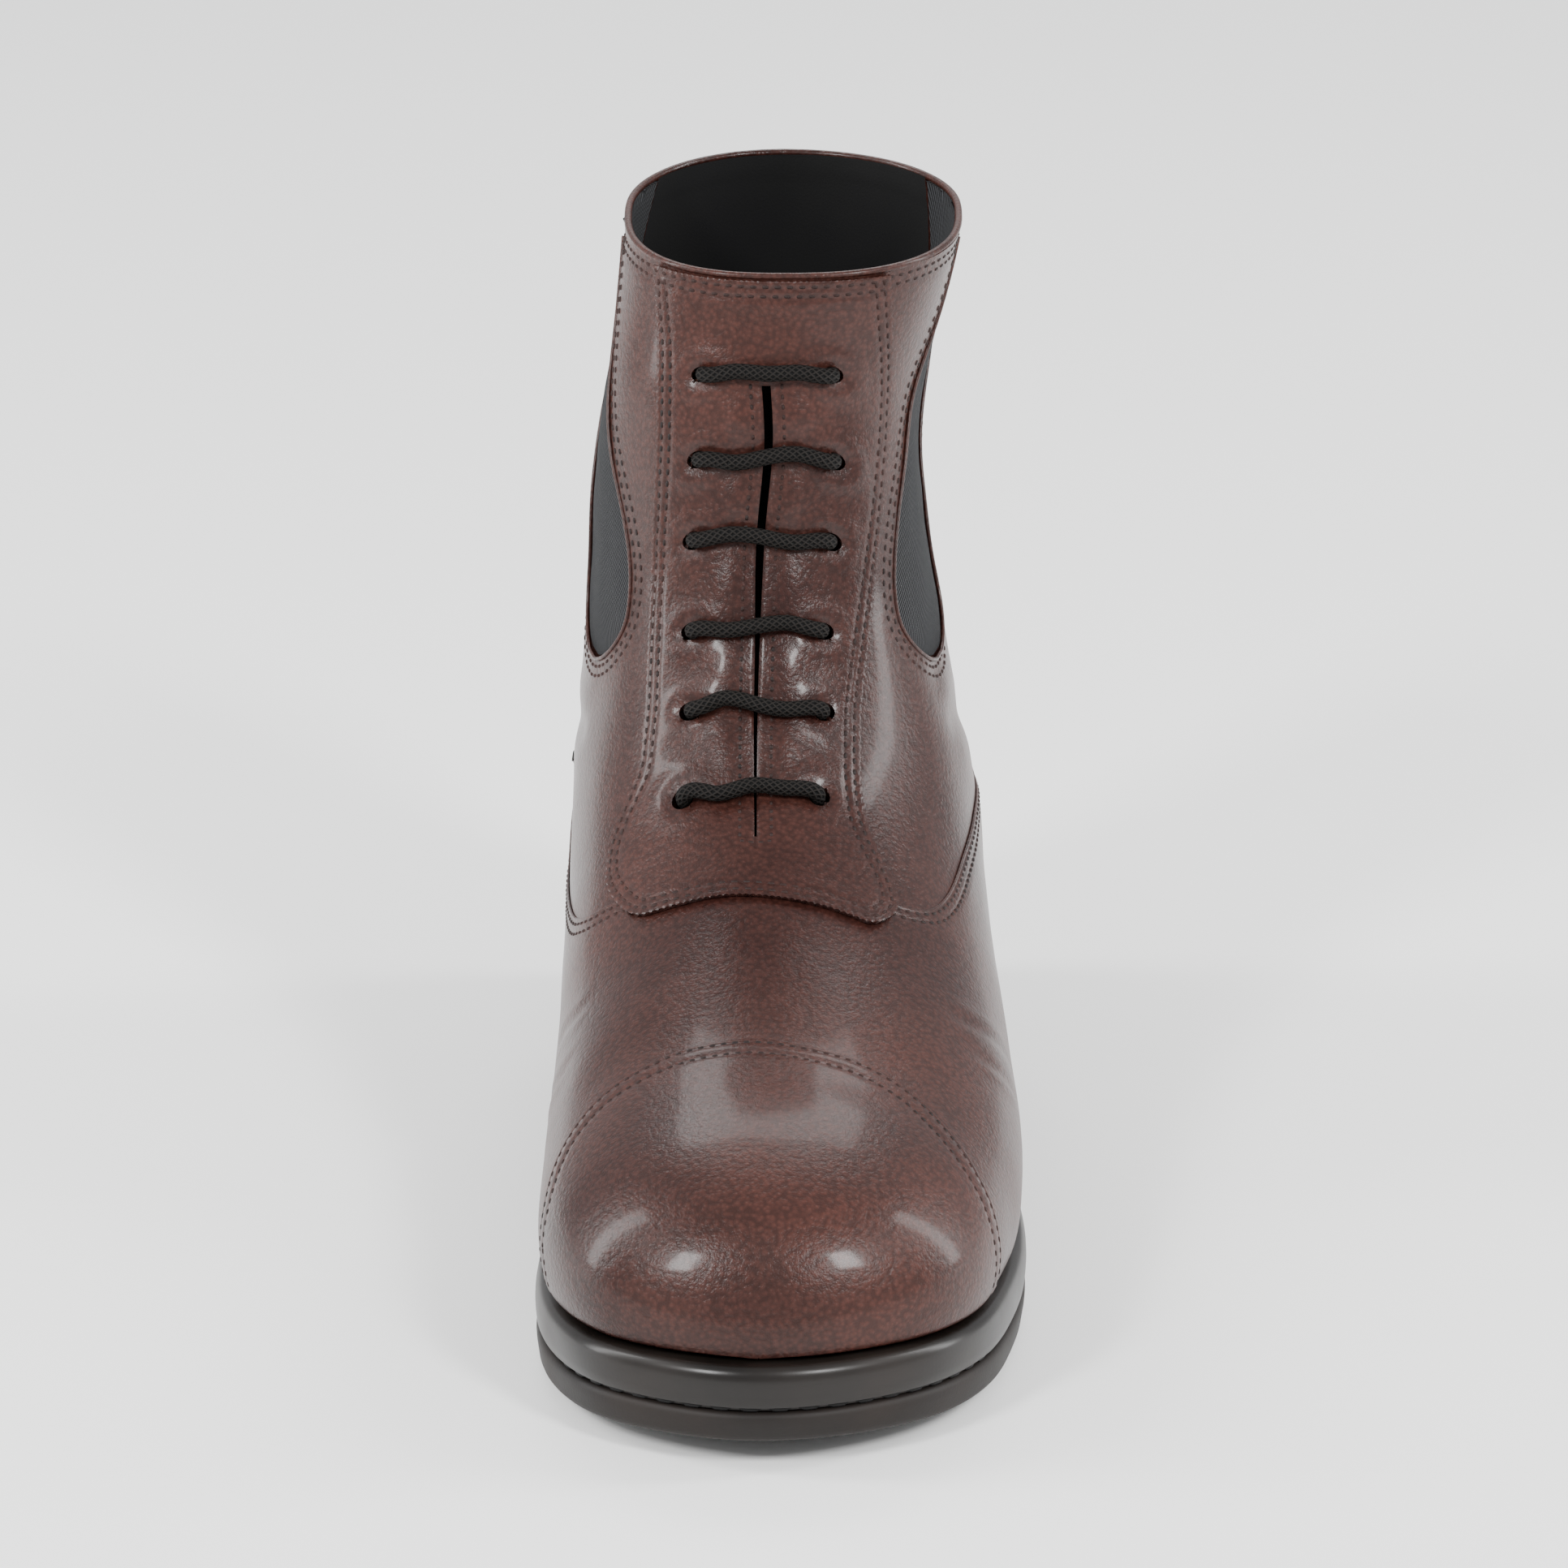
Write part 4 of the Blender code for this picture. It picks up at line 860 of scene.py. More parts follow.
@dataclass
class StitchRow:
    """Row of stitches sewn along a line over a surface."""

    name: str
    seam: Seam
    pitch: float = 2.6
    thread: float = .42
    sunk: float = .10
    share: float = .72
    longest_gap: float = 9.0

    def sew(self, shop: Workshop, skin: Skin, finish: bpy.types.Material) -> bpy.types.Object:
        """Makes every stitch as a small rounded bar that dips at its ends.

        Args:
            shop: Maker of meshes.
            skin: Surface that carries the stitches.
            finish: The thread's material.

        Returns:
            One object that holds the row.
        """
        steps = np.linalg.norm(np.diff(self.seam.points, axis=0), axis=1)
        run = np.concatenate([[0], np.cumsum(steps)])
        count = max(2, int(run[-1] / self.pitch))
        middles = (np.arange(count) + .5) * run[-1] / count
        half = self.pitch * self.share / 2
        maker = bmesh.new()
        for at in middles:
            if steps[min(np.searchsorted(run, at), len(steps)) - 1] > self.longest_gap:
                continue
            landed = []
            for step in (-half, half):
                place, out = (np.array([np.interp(at + step, run, line[:, k]) for k in range(3)])
                              for line in (self.seam.points, self.seam.out))
                landed.append(skin.land(Vector(shop.place(place)), Vector(out).normalized()))
            if None in landed:
                continue
            (start, start_out), (stop, stop_out) = landed
            normal = (start_out + stop_out).normalized()
            ahead = (stop - start).normalized()
            beside = normal.cross(ahead).normalized()
            made = bmesh.ops.create_grid(maker, x_segments=4, y_segments=4, size=1)["verts"]
            length = (stop - start).length / 2
            middle = (start + stop) / 2
            if length > self.pitch * MM:
                bmesh.ops.delete(maker, geom=made)
                continue
            for vert in made:
                u, v = vert.co.x, vert.co.y
                fat = math.sqrt(max(0.0, 1 - abs(u) ** 3))
                swing = v * math.pi * .5
                vert.co = (middle + ahead * u * length
                           + beside * (math.sin(swing) * fat * self.thread * MM)
                           + normal * ((math.cos(swing) * fat * self.thread * .9
                                        - self.sunk - .15 * u ** 4) * MM))
        bmesh.ops.remove_doubles(maker, verts=maker.verts[:], dist=.004 * MM)
        return shop.finish(maker, self.name, (finish,), SMOOTH_ANGLE_ROUND)


def undulation(points: Place, wavelength: float, height: float, seed: float) -> np.ndarray:
    """Soft unevenness of hand-lasted leather, in millimetres."""
    flat = points.reshape(-1, 3) / wavelength + (seed, seed * .7, -seed)
    values = [noise.noise(place) for place in flat.tolist()]
    return np.array(values).reshape(points.shape[:-1]) * height


@dataclass
class Crease:
    """Fold line in the leather, drawn over the last."""

    start: tuple[float, float]
    stop: tuple[float, float]
    depth: float
    width: float

    def lift(self, points: Place) -> np.ndarray:
        """Change of height at places, for a line between two surface points in mm."""
        a = LAST.point(*self.start)
        b = LAST.point(*self.stop)
        along = b - a
        share = np.clip(((points - a) @ along) / (along @ along), 0, 1)
        nearest = a + share[..., None] * along
        away = np.linalg.norm(points - nearest, axis=-1)
        fade = ease(0, .22, share) * (1 - ease(.78, 1, share))
        trough = -np.exp(-(away / self.width) ** 2)
        shoulder = .55 * np.exp(-((away - 2.1 * self.width) / (1.1 * self.width)) ** 2)
        return self.depth * (trough + shoulder) * fade


@dataclass
class Upper:
    """Quarters, vamp and toe cap: the shell of leather with its lining."""

    shop: Workshop
    columns: int = 161
    wear: ClassVar[tuple] = (
        Crease((5.9, .30), (6.3, .44), .38, 1.6),
        Crease((6.2, .26), (6.7, .42), .42, 1.9),
        Crease((6.0, -.34), (6.5, -.48), .30, 1.8),
        Crease((6.6, -.30), (7.0, -.44), .28, 1.8),
        Crease((10.6, .34), (12.1, .50), .55, 3.4),
        Crease((11.3, .30), (13.0, .46), .45, 3.2),
        Crease((10.6, -.36), (12.3, -.52), .55, 3.4),
        Crease((11.6, -.30), (13.3, -.45), .45, 3.2),
        Crease((12.7, .52), (13.6, .72), .5, 4.0),
        Crease((12.7, -.52), (13.6, -.72), .5, 4.0),
        Crease((13.8, .62), (14.3, .85), .4, 4.0),
        Crease((13.8, -.62), (14.3, -.85), .4, 4.0),
    )

    @classmethod
    def wear_lift(cls, points: Place) -> np.ndarray:
        """Folds and soft unevenness together."""
        total = undulation(points, 34.0, .55, 4.0) + undulation(points, 15.0, .16, 9.0)
        for crease in cls.wear:
            total = total + crease.lift(points)
        return total

    def panel(self, name: str, start: Callable, stop: Callable, rows: int, lift: float,
              thick: float, lip: bool, sewn: Sequence[float]) -> bpy.types.Object:
        """Panel from one seam to the next.

        Args:
            name: Name of the piece.
            start: Station where it starts, by turn.
            stop: Station where it stops, by turn.
            rows: Rows of points.
            lift: Height of its leather over the last.
            thick: Its wall.
            lip: Whether its far edge is a cut edge that rounds over.
            sewn: Distances from its far edge of the rows of thread, which press into it.

        Returns:
            The object, with its wall still a modifier.
        """
        turn = np.sin(np.linspace(-1, 1, self.columns) * math.pi / 2 * .55)
        turn /= turn[-1]
        share = np.linspace(0, 1, rows)
        share = 1 - (1 - share) ** 1.5 if lip else share
        stations = start(turn)[None, :] + (stop(turn) - start(turn))[None, :] * share[:, None]
        turns = np.broadcast_to(turn, stations.shape)
        points = LAST.point(stations, turns)
        off_edge = 1 - ease(.74, .94, np.abs(turns))
        off_edge = np.maximum(off_edge, ease(SEAT_STATION, SEAT_STATION + .8, stations))
        height = lift * off_edge
        height = height + self.wear_lift(points) * (1 - ease(.80, .95, np.abs(turns))
                                                    * (stations < SEAT_STATION))
        to_edge = EdgeDistance(points[-1], 1).distance(points)
        for row in sewn:
            height = height - .20 * hill(to_edge, row, .7)
        if lip:
            height = height - .38 * np.clip(1 - to_edge / .7, 0, 1) ** 2
        return self.shop.sheet(name, stations, turns, height, thick,
                               (self.shop.leather, self.shop.lining),
                               keep=~(Facing.opening(stations, points[..., 0], 1.6, .4)
                                      & (np.abs(turns[1:, 1:]) < .45)))

    def notch_cutter(self, side: Side) -> bpy.types.Object:
        """Solid that clears the leather over a gore."""
        stations, turns = Gore.grid(side, 0.0, 40, 14)
        return self.shop.block("notch_cutter", stations, turns, -6.0, 6.0)

    def build(self) -> list[bpy.types.Object]:
        """Builds the three panels, cut for the gores."""
        cap_seam = table_line(CAP_SEAM, 1, .05)
        vamp_seam = table_line(VAMP_SEAM, 1, .04)
        toe = self.panel("toe_cap", lambda t: t * 0.0, cap_seam, 70, CAP_LIFT,
                         CAP_LIFT + LINING_DEPTH, True, CAP_ROWS)
        vamp = self.panel("vamp", lambda t: cap_seam(t) - .05, vamp_seam, 110, VAMP_LIFT,
                          VAMP_LIFT + LINING_DEPTH, True, VAMP_ROWS)
        quarter = self.panel("quarters", lambda t: vamp_seam(t) - .12,
                             lambda t: np.full_like(t, COLLAR_STATION), 130, 0.0, LINING_DEPTH,
                             False, COLLAR_ROWS)
        self.shop.cut(quarter, [self.notch_cutter(side) for side in Side])
        for piece in (toe, vamp):
            self.shop.apply(piece)
        for piece in (toe, vamp, quarter):
            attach(piece, "root")
            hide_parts("upper")
        return [toe, vamp, quarter]


@dataclass
class Gore:
    """Elastic panel in one side."""

    shop: Workshop
    side: Side
    clearance: float = .5
    thick: float = 1.2
    sink: float = .2

    @staticmethod
    def grid(side: Side, clearance: float, rows: int, columns: int
             ) -> tuple[np.ndarray, np.ndarray]:
        """Stations and turns of a U whose sides run back as they rise.

        Args:
            side: Side of the foot.
            clearance: How far it stays inside the notch.
            rows: Rows from the foot to the collar.
            columns: Columns from front to back.

        Returns:
            Arrays of stations and of turns.
        """
        front = Spline([row[0] for row in GORE_EDGES], [row[1] for row in GORE_EDGES])
        back = Spline([row[0] for row in GORE_EDGES], [row[2] for row in GORE_EDGES])
        foot_z = GORE_FOOT_Z + 2 * clearance
        radius = GORE_FOOT_RADIUS - clearance
        top_z = NOTCH_TOP_Z
        z = (foot_z + (top_z - foot_z) * np.linspace(.05, 1, rows) ** 2)[:, None]
        front_y = front(z) + clearance
        back_y = back(z) - clearance
        below = np.maximum(0, 1 - (z - foot_z) / radius)
        half = (back_y - front_y) / 2 * np.sqrt(1 - below ** 2)
        y = (front_y + back_y) / 2 + half * np.linspace(-1, 1, columns)[None, :]
        return LAST.on_side(y, np.broadcast_to(z, y.shape), side)

    def outline(self) -> Seam:
        """Edge of the notch from the front of the collar down, round the foot and up the back."""
        grids = self.grid(self.side, 0.0, 60, 14)
        low = [grids[0][:, k] < COLLAR_STATION - .05 for k in (0, -1)]
        around = [np.concatenate([g[low[0], 0][::-1], g[0, 1:-1], g[low[1], -1]]) for g in grids]
        return Seam.on_last(*around, 0.0)

    def build(self) -> bpy.types.Object:
        """Builds the elastic, which is slightly uneven."""
        stations, turns = self.grid(self.side, self.clearance, 80, 26)
        last = int(np.argmax((stations > COLLAR_STATION - .02).all(1))) + 1
        stations = np.minimum(stations[:last], COLLAR_STATION - .02)
        turns = turns[:last]
        points = LAST.point(stations, turns)
        run = np.linspace(0, 10.0, stations.shape[0])
        wide = np.linspace(0, 3.0, stations.shape[1])
        weave = np.stack(np.broadcast_arrays(wide[None, :], run[:, None]), -1)
        lift = -self.sink - .25 + undulation(points, 9.0, .25, 3.0)
        name = "elastic_gore_" + self.side.name.lower()
        piece = self.shop.sheet(name, stations, turns, lift, self.thick - .25,
                                (self.shop.elastic,), weave)
        self.shop.apply(piece)
        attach(piece, "root")
        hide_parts("gore_" + self.side.name.lower())
        return piece


@dataclass
class Facing:
    """Leather panel down the front, with its slot and lace holes."""

    shop: Workshop
    rows: int = 210
    columns: int = 120
    hole_radius: ClassVar[float] = 2.3
    per_mm: ClassVar[float] = .066

    @staticmethod
    def slot_edges(stations: np.ndarray) -> tuple[np.ndarray, np.ndarray]:
        """Middle of the slot, and half its width, which grows upwards."""
        clipped = np.clip(stations, SLOT_LINE[0][0], SLOT_LINE[-1][0])
        middle = Spline([row[0] for row in SLOT_LINE], [row[1] for row in SLOT_LINE])(clipped)
        return middle, np.interp(clipped, (7.9, 10.8, 12.6, 15.6), (.25, .45, .85, .95))

    @staticmethod
    def holes() -> list[tuple[float, float]]:
        """Station and x of every lace hole."""
        return [(bar[0], x) for bar in LACE_BARS for x in bar[1:3]]

    @staticmethod
    def opening(stations: np.ndarray, x: np.ndarray, slot_spare: float, hole_spare: float
                ) -> np.ndarray:
        """Which faces of a grid lie in the slot or in a lace hole.

        Args:
            stations: Stations of the grid.
            x: Their places across.
            slot_spare: How much wider than the slot.
            hole_spare: How much wider than the holes.

        Returns:
            Booleans, rows - 1 by columns - 1.
        """
        middles = [(g[1:, 1:] + g[:-1, 1:] + g[1:, :-1] + g[:-1, :-1]) / 4 for g in (stations, x)]
        centre, half = Facing.slot_edges(middles[0])
        inside = ((np.abs(middles[1] - centre) < half + slot_spare)
                  & (middles[0] > SLOT_LINE[0][0]) & (middles[0] < SLOT_LINE[-1][0]))
        for station, hole_x in Facing.holes():
            away = np.hypot((middles[0] - station) / Facing.per_mm, middles[1] - hole_x)
            inside |= away < Facing.hole_radius + hole_spare
        return inside

    def grid(self, rows: int, columns: int) -> tuple[np.ndarray, np.ndarray, np.ndarray]:
        """Stations, turns and x of the panel's places, row by row from its foot.

        Two neighbouring columns run along the slot's edges.
        """
        medial_x = table_line(FACING_EDGES, 1, .35)
        lateral_x = table_line(FACING_EDGES, 2, .35)
        foot = Spline([row[0] for row in FACING_FOOT], [row[1] for row in FACING_FOOT])
        up = np.linspace(0, 1, rows) ** 1.15
        row_station = FACING_EDGES[0][0] + (FACING_TOP - FACING_EDGES[0][0]) * up
        centre, half = (g[:, None] for g in self.slot_edges(row_station))
        across = np.linspace(0, 1, columns // 2)[None, :]
        left = medial_x(row_station)[:, None]
        right = lateral_x(row_station)[:, None]
        x = np.concatenate([left + (centre - half - left) * across,
                            centre + half + (right - centre - half) * across], 1)
        ends = np.clip(1 - (x - left) / 4.5, 0, 1) ** 2 + np.clip(1 - (right - x) / 4.5, 0, 1) ** 2
        start = foot(x) + .14 * ends
        stations = start + (FACING_TOP - start) * up[:, None]
        return stations, LAST.turn_at(stations, x), x

    def round_holes(self, stations: np.ndarray, x: np.ndarray) -> None:
        """Moves the grid's places that are close to a hole's rim onto it."""
        for station, hole_x in self.holes():
            along, beside = (stations - station) / self.per_mm, x - hole_x
            away = np.maximum(np.hypot(along, beside), 1e-6)
            near = np.abs(away - self.hole_radius) < .56
            stations[near] = station + (along * self.hole_radius / away)[near] * self.per_mm
            x[near] = hole_x + (beside * self.hole_radius / away)[near]

    def pull(self, stations: np.ndarray, x: np.ndarray) -> np.ndarray:
        """Pillows between the lace bars and dimples at the holes, where the cord draws it in."""
        lift = np.zeros_like(x)
        centre, half = self.slot_edges(stations)
        beside = np.abs(x - centre)
        levels = [bar[0] for bar in LACE_BARS]
        for upper, lower in zip(levels, levels[1:]):
            middle = (upper + lower) / 2
            reach = (upper - lower) / 2.6
            lift += 1.15 * hill(stations, middle, reach) * hill(beside, 6.0, 5.0)
            lift -= .35 * hill(stations, lower, .17) * hill(beside, 6.0, 7.0)
        for station, hole_x in self.holes():
            away = np.hypot((stations - station) / self.per_mm, x - hole_x)
            lift += .32 * hill(away, 5.4, 2.4) - .75 * hill(away, 0.0, 2.7)
        in_slot = ease(7.6, 7.9, stations) * (1 - ease(15.6, 15.9, stations))
        return lift - .35 * np.clip(1 - (beside - half) / .9, 0, 1) ** 2 * in_slot

    def build(self) -> bpy.types.Object:
        """Builds the panel with its slot and holes."""
        stations, _, x = self.grid(self.rows, self.columns)
        self.round_holes(stations, x)
        turns = LAST.turn_at(stations, x)
        points = LAST.point(stations, turns)
        seat = FACING_SEAT + VAMP_LIFT * (1 - ease(7.9, 8.5, stations))
        top = seat + FACING_THICK
        edge_points = np.concatenate([points[:, 0], points[0], points[:, -1], points[-1]])
        to_edge = EdgeDistance(edge_points).distance(points)
        top = top - .5 * np.clip(1 - to_edge / .8, 0, 1) ** 2
        for row in FACING_ROWS:
            top = top - .22 * hill(to_edge, row, .7)
        inside = ease(4.0, 9.0, to_edge)
        height = top + self.pull(stations, x) * inside + Upper.wear_lift(points)
        piece = self.shop.sheet("lace_facing", stations, turns, height, FACING_THICK - .1,
                                (self.shop.leather,), keep=~self.opening(stations, x, -.01, -.05))
        self.shop.apply(piece)
        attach(piece, "root")
        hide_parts("facing")
        return piece

    def edge_line(self) -> Seam:
        """Edge from the medial top down, along the foot and up the lateral side."""
        stations, turns, _ = self.grid(160, 90)
        around = [np.concatenate([g[::-1, 0], g[0, 1:-1], g[:, -1]]) for g in (stations, turns)]
        return Seam.on_last(*around, FACING_SEAT + FACING_THICK)

    def slot_line(self) -> Seam:
        """Middle of the slot from its foot up."""
        rows = np.linspace(SLOT_LINE[0][0] - .1, SLOT_LINE[-1][0] + .3, 80)
        x, _ = self.slot_edges(rows)
        return Seam.on_last(rows, LAST.turn_at(rows, x), FACING_SEAT + FACING_THICK)


class EdgeDistance:
    """Distances to a cloud of edge points."""

    def __init__(self, points: Place, thin: int = 3) -> None:
        """Keeps one point in every few."""
        self.points = points[::thin]

    def distance(self, at: Place) -> np.ndarray:
        """Distance in millimetres from each place to the nearest edge point."""
        flat = at.reshape(-1, 3)
        best = np.full(len(flat), np.inf)
        for k in range(0, len(self.points), 40):
            gap = flat[:, None] - self.points[None, k:k + 40]
            best = np.minimum(best, np.sqrt((gap ** 2).sum(-1)).min(1))
        return best.reshape(at.shape[:-1])


@dataclass
class Lacing:
    """Round cord over the facing, and the backing behind the slot."""

    shop: Workshop

    def route(self) -> Place:
        """Points of the lace: a bar over each pair of holes, and runs inside between them."""
        over = FACING_SEAT + FACING_THICK + LACE_RADIUS + .4
        inside = -LINING_DEPTH - 3 * GAP - LACE_RADIUS
        points = []
        for k, (station, medial_x, lateral_x, medial_wave, lateral_wave) in enumerate(LACE_BARS):
            width = lateral_x - medial_x
            per_mm = .062 if station > 11 else .075
            bar = [
                (medial_x, inside, 0.0), (medial_x, (inside + over) / 2, 0.0),
                (medial_x + .9, over - .9, 0.0), (medial_x + 2.9, over, 0.0),
                (medial_x + .26 * width, over, medial_wave), (medial_x + .5 * width, over, 0.0),
                (lateral_x - .26 * width, over, lateral_wave), (lateral_x - 2.9, over, 0.0),
                (lateral_x - .9, over - .9, 0.0), (lateral_x, (inside + over) / 2, 0.0),
                (lateral_x, inside, 0.0),
            ]
            if k % 2:
                bar.reverse()
            for x, lift, wave in bar:
                along = station + wave * per_mm
                points.append(LAST.surface(along, LAST.turn_at(along, x), lift))
            if k < len(LACE_BARS) - 1:
                end_x = bar[-1][0]
                below = LACE_BARS[k + 1]
                next_x = below[2] if k % 2 == 0 else below[1]
                for share in (.25, .5, .75):
                    along = station + (below[0] - station) * share
                    x = end_x + (next_x - end_x) * share
                    points.append(LAST.surface(along, LAST.turn_at(along, x), inside))
        return np.array(points)

    def build_lace(self) -> bpy.types.Object:
        """Builds the cord on a smooth curve through the route."""
        route = self.route()
        run = np.concatenate([[0], np.cumsum(np.linalg.norm(np.diff(route, axis=0), axis=1))])
        fine = np.arange(0, run[-1], .7)
        smooth = np.stack([Spline(run, route[:, k])(fine) for k in range(3)], -1)
        straight = np.stack([np.interp(fine, run, route[:, k]) for k in range(3)], -1)
        lace = self.shop.cord("round_lace", smooth * .75 + straight * .25, LACE_RADIUS, 16,
                              self.shop.braid)
        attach(lace, "root")
        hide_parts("lace")
        return lace

    def build_tongue(self) -> bpy.types.Object:
        """Builds the dark backing behind the slot."""
        rows, columns = 60, 30
        stations = np.repeat(np.linspace(*TONGUE_STATIONS, rows)[:, None], columns, 1)
        x = np.repeat(np.linspace(*TONGUE_X, columns)[None, :], rows, 0)
        outer = -LINING_DEPTH - GAP - (2 * LACE_RADIUS + 4 * GAP) * ease(7.6, 8.3, stations)
        piece = self.shop.sheet("tongue_lining", stations, LAST.turn_at(stations, x), outer, 1.2,
                                (self.shop.lining,))
        self.shop.apply(piece)
        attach(piece, "root")
        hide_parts("tongue")
        return piece


@dataclass
class Ring:
    """One level of a sole layer: how far it reaches past the upper's edge, and its height."""

    reach: Callable[[float], float]
    height: Callable[[Place, float], float]


@dataclass
class Sole:
    """Insole, midsole, outsole and heel."""

    shop: Workshop
    across: int = 24
    tread: Callable = field(default_factory=lambda: table_line(TREAD, 1, 5.0))

    @staticmethod
    def edge(station: float, side: int, reach: float) -> Place:
        """Point of the outline in plan: the upper's lower edge pushed out by reach."""
        here = LAST.point(station, side)
        if station <= 1e-6:
            return here + np.array([0, -reach, 0])
        if station >= SEAT_STATION - 1e-6:
            return here + np.array([0, reach, 0])
        ahead = LAST.point(min(station + .02, SEAT_STATION), side)
        behind = LAST.point(station - .02, side)
        along = ahead - behind
        out = np.array([along[1], -along[0], 0]) * side
        return here + out / np.linalg.norm(out) * reach

    @staticmethod
    def welt(drop: float) -> Callable[[Place, float], float]:
        """Height that follows the upper's lower edge at a fixed drop."""
        return lambda point, station: float(LAST.sizes(np.float64(station))["back_z"]) - drop

    @staticmethod
    def level(height: float) -> Callable[[Place, float], float]:
        """The same height everywhere."""
        return lambda point, station: height

    def tread_at(self, rise: float) -> Callable[[Place, float], float]:
        """Height that follows the tread line."""
        return lambda point, station: float(self.tread(point[1])) + rise

    @staticmethod
    def reach(extra: float) -> Callable[[float], float]:
        """Reach of the sole past the upper, more at the toe."""
        return lambda s: WELT_REACH + (TOE_REACH - WELT_REACH) * float(1 - ease(0, 3, s)) + extra

    def layer(self, name: str, stations: Sequence[float], rings: Sequence[Ring],
              finish: bpy.types.Material, groove: Optional[Callable] = None) -> bpy.types.Object:
        """Closed layer: the same closed section at every station, from the toe to the heel.

        Args:
            name: Name of the piece.
            stations: Stations of the sections.
            rings: Levels from the bottom to the top.
            finish: Material.
            groove: Rise of the bottom face at (x share, y), for the tread.

        Returns:
            The object.
        """
        share = np.linspace(-1, 1, self.across)
        rows = []
        for station in stations:
            lows = [self.edge(station, side, rings[0].reach(station)) for side in (-1, 1)]
            tops = [self.edge(station, side, rings[-1].reach(station)) for side in (-1, 1)]
            row = []
            for s in share:
                point = lows[0] + (lows[1] - lows[0]) * (s + 1) / 2
                point[2] = rings[0].height(point, station) + (groove(s, point[1]) if groove else 0)
                row.append(point)
            for ring in rings[1:-1]:
                point = self.edge(station, 1, ring.reach(station))
                point[2] = ring.height(point, station)
                row.append(point)
            for s in share[::-1]:
                point = tops[0] + (tops[1] - tops[0]) * (s + 1) / 2
                point[2] = rings[-1].height(point, station)
                row.append(point)
            for ring in rings[-2:0:-1]:
                point = self.edge(station, -1, ring.reach(station))
                point[2] = ring.height(point, station)
                row.append(point)
            rows.append(row + row[:1])
        maker = self.shop.grid(np.array(rows), merge_mm=.005)
        rim = [edge for edge in maker.edges if edge.is_boundary]
        if rim:
            bmesh.ops.contextual_create(maker, geom=rim)
            bmesh.ops.recalc_face_normals(maker, faces=maker.faces[:])
        piece = self.shop.finish(maker, name, (finish,), SMOOTH_ANGLE_SOLE)
        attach(piece, "root")
        return piece

    @staticmethod
    def stations(start: float, step: float = .07) -> np.ndarray:
        """Sections close together, and closer still where the outline turns at toe and heel."""
        middle = np.arange(max(start, .35), 11.4, step)
        toe = .35 * np.linspace(0, 1, 12)[:-1] ** 2 if start == 0 else []
        heel = SEAT_STATION - .6 * np.linspace(1, 0, 18) ** 2
        return np.concatenate([toe, middle, heel])

    def build(self) -> list[bpy.types.Object]:
        """Builds the four layers."""
        low = GAP + MIDSOLE_THICK
        whole = self.stations(0)
        insole = self.layer("sock_liner", whole, (
            Ring(lambda s: -INSOLE_INSET - .4, self.welt(-INSOLE_SEAT)),
            Ring(lambda s: -INSOLE_INSET, self.welt(-INSOLE_SEAT - .4)),
            Ring(lambda s: -INSOLE_INSET, self.welt(-INSOLE_SEAT - INSOLE_THICK + .5)),
            Ring(lambda s: -INSOLE_INSET - .5, self.welt(-INSOLE_SEAT - INSOLE_THICK)),
        ), self.shop.sock)
        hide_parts("insole")
        midsole = self.layer("midsole_band", whole, (
            *(Ring(self.reach(out), self.welt(low - up)) for out, up in MIDSOLE_OVER_LOWER_FACE),
            *(Ring(self.reach(out), self.welt(GAP + down))
              for out, down in MIDSOLE_UNDER_UPPER_FACE),
        ), self.shop.rubber)
        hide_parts("midsole")
        top = 2 * GAP + MIDSOLE_THICK
        outsole = self.layer("outsole_tread", whole, (
            *(Ring(self.reach(out), self.tread_at(up)) for out, up in OUTSOLE_OVER_TREAD),
            *(Ring(self.reach(out), self.welt(top + down))
              for out, down in OUTSOLE_UNDER_UPPER_FACE),
        ), self.shop.tread, self.forefoot_groove)
        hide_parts("outsole")
        heel = self.layer("heel_block", self.stations(HEEL_BREAST_STATION), (
            *(Ring(self.reach(out), self.level(up)) for out, up in HEEL_OVER_FLOOR),
            *(Ring(self.reach(out), self.tread_at(-GAP - down)) for out, down in HEEL_UNDER_TREAD),
        ), self.shop.tread, self.heel_groove)
        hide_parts("heel")
        return [insole, midsole, outsole, heel]

    @staticmethod
    def groove(y: float, centre: float, pitch: float) -> float:
        """Depth of a row of cross grooves, one of which lies at the centre."""
        phase = (y - centre) % pitch
        return GROOVE_DEPTH * float(ease(GROOVE_MOUTH, GROOVE_FLOOR, min(phase, pitch - phase)))

    @classmethod
    def forefoot_groove(cls, share: float, y: float) -> float:
        """Depth of the cross grooves under the forefoot."""
        return cls.groove(y, 76, 8.0) if abs(share) <= .80 and 24 < y < 122 else 0.0

    @classmethod
    def heel_groove(cls, share: float, y: float) -> float:
        """Depth of the cross grooves under the heel."""
        return cls.groove(y, 226, 12.0) if abs(share) <= .62 and 220 < y < 268 else 0.0


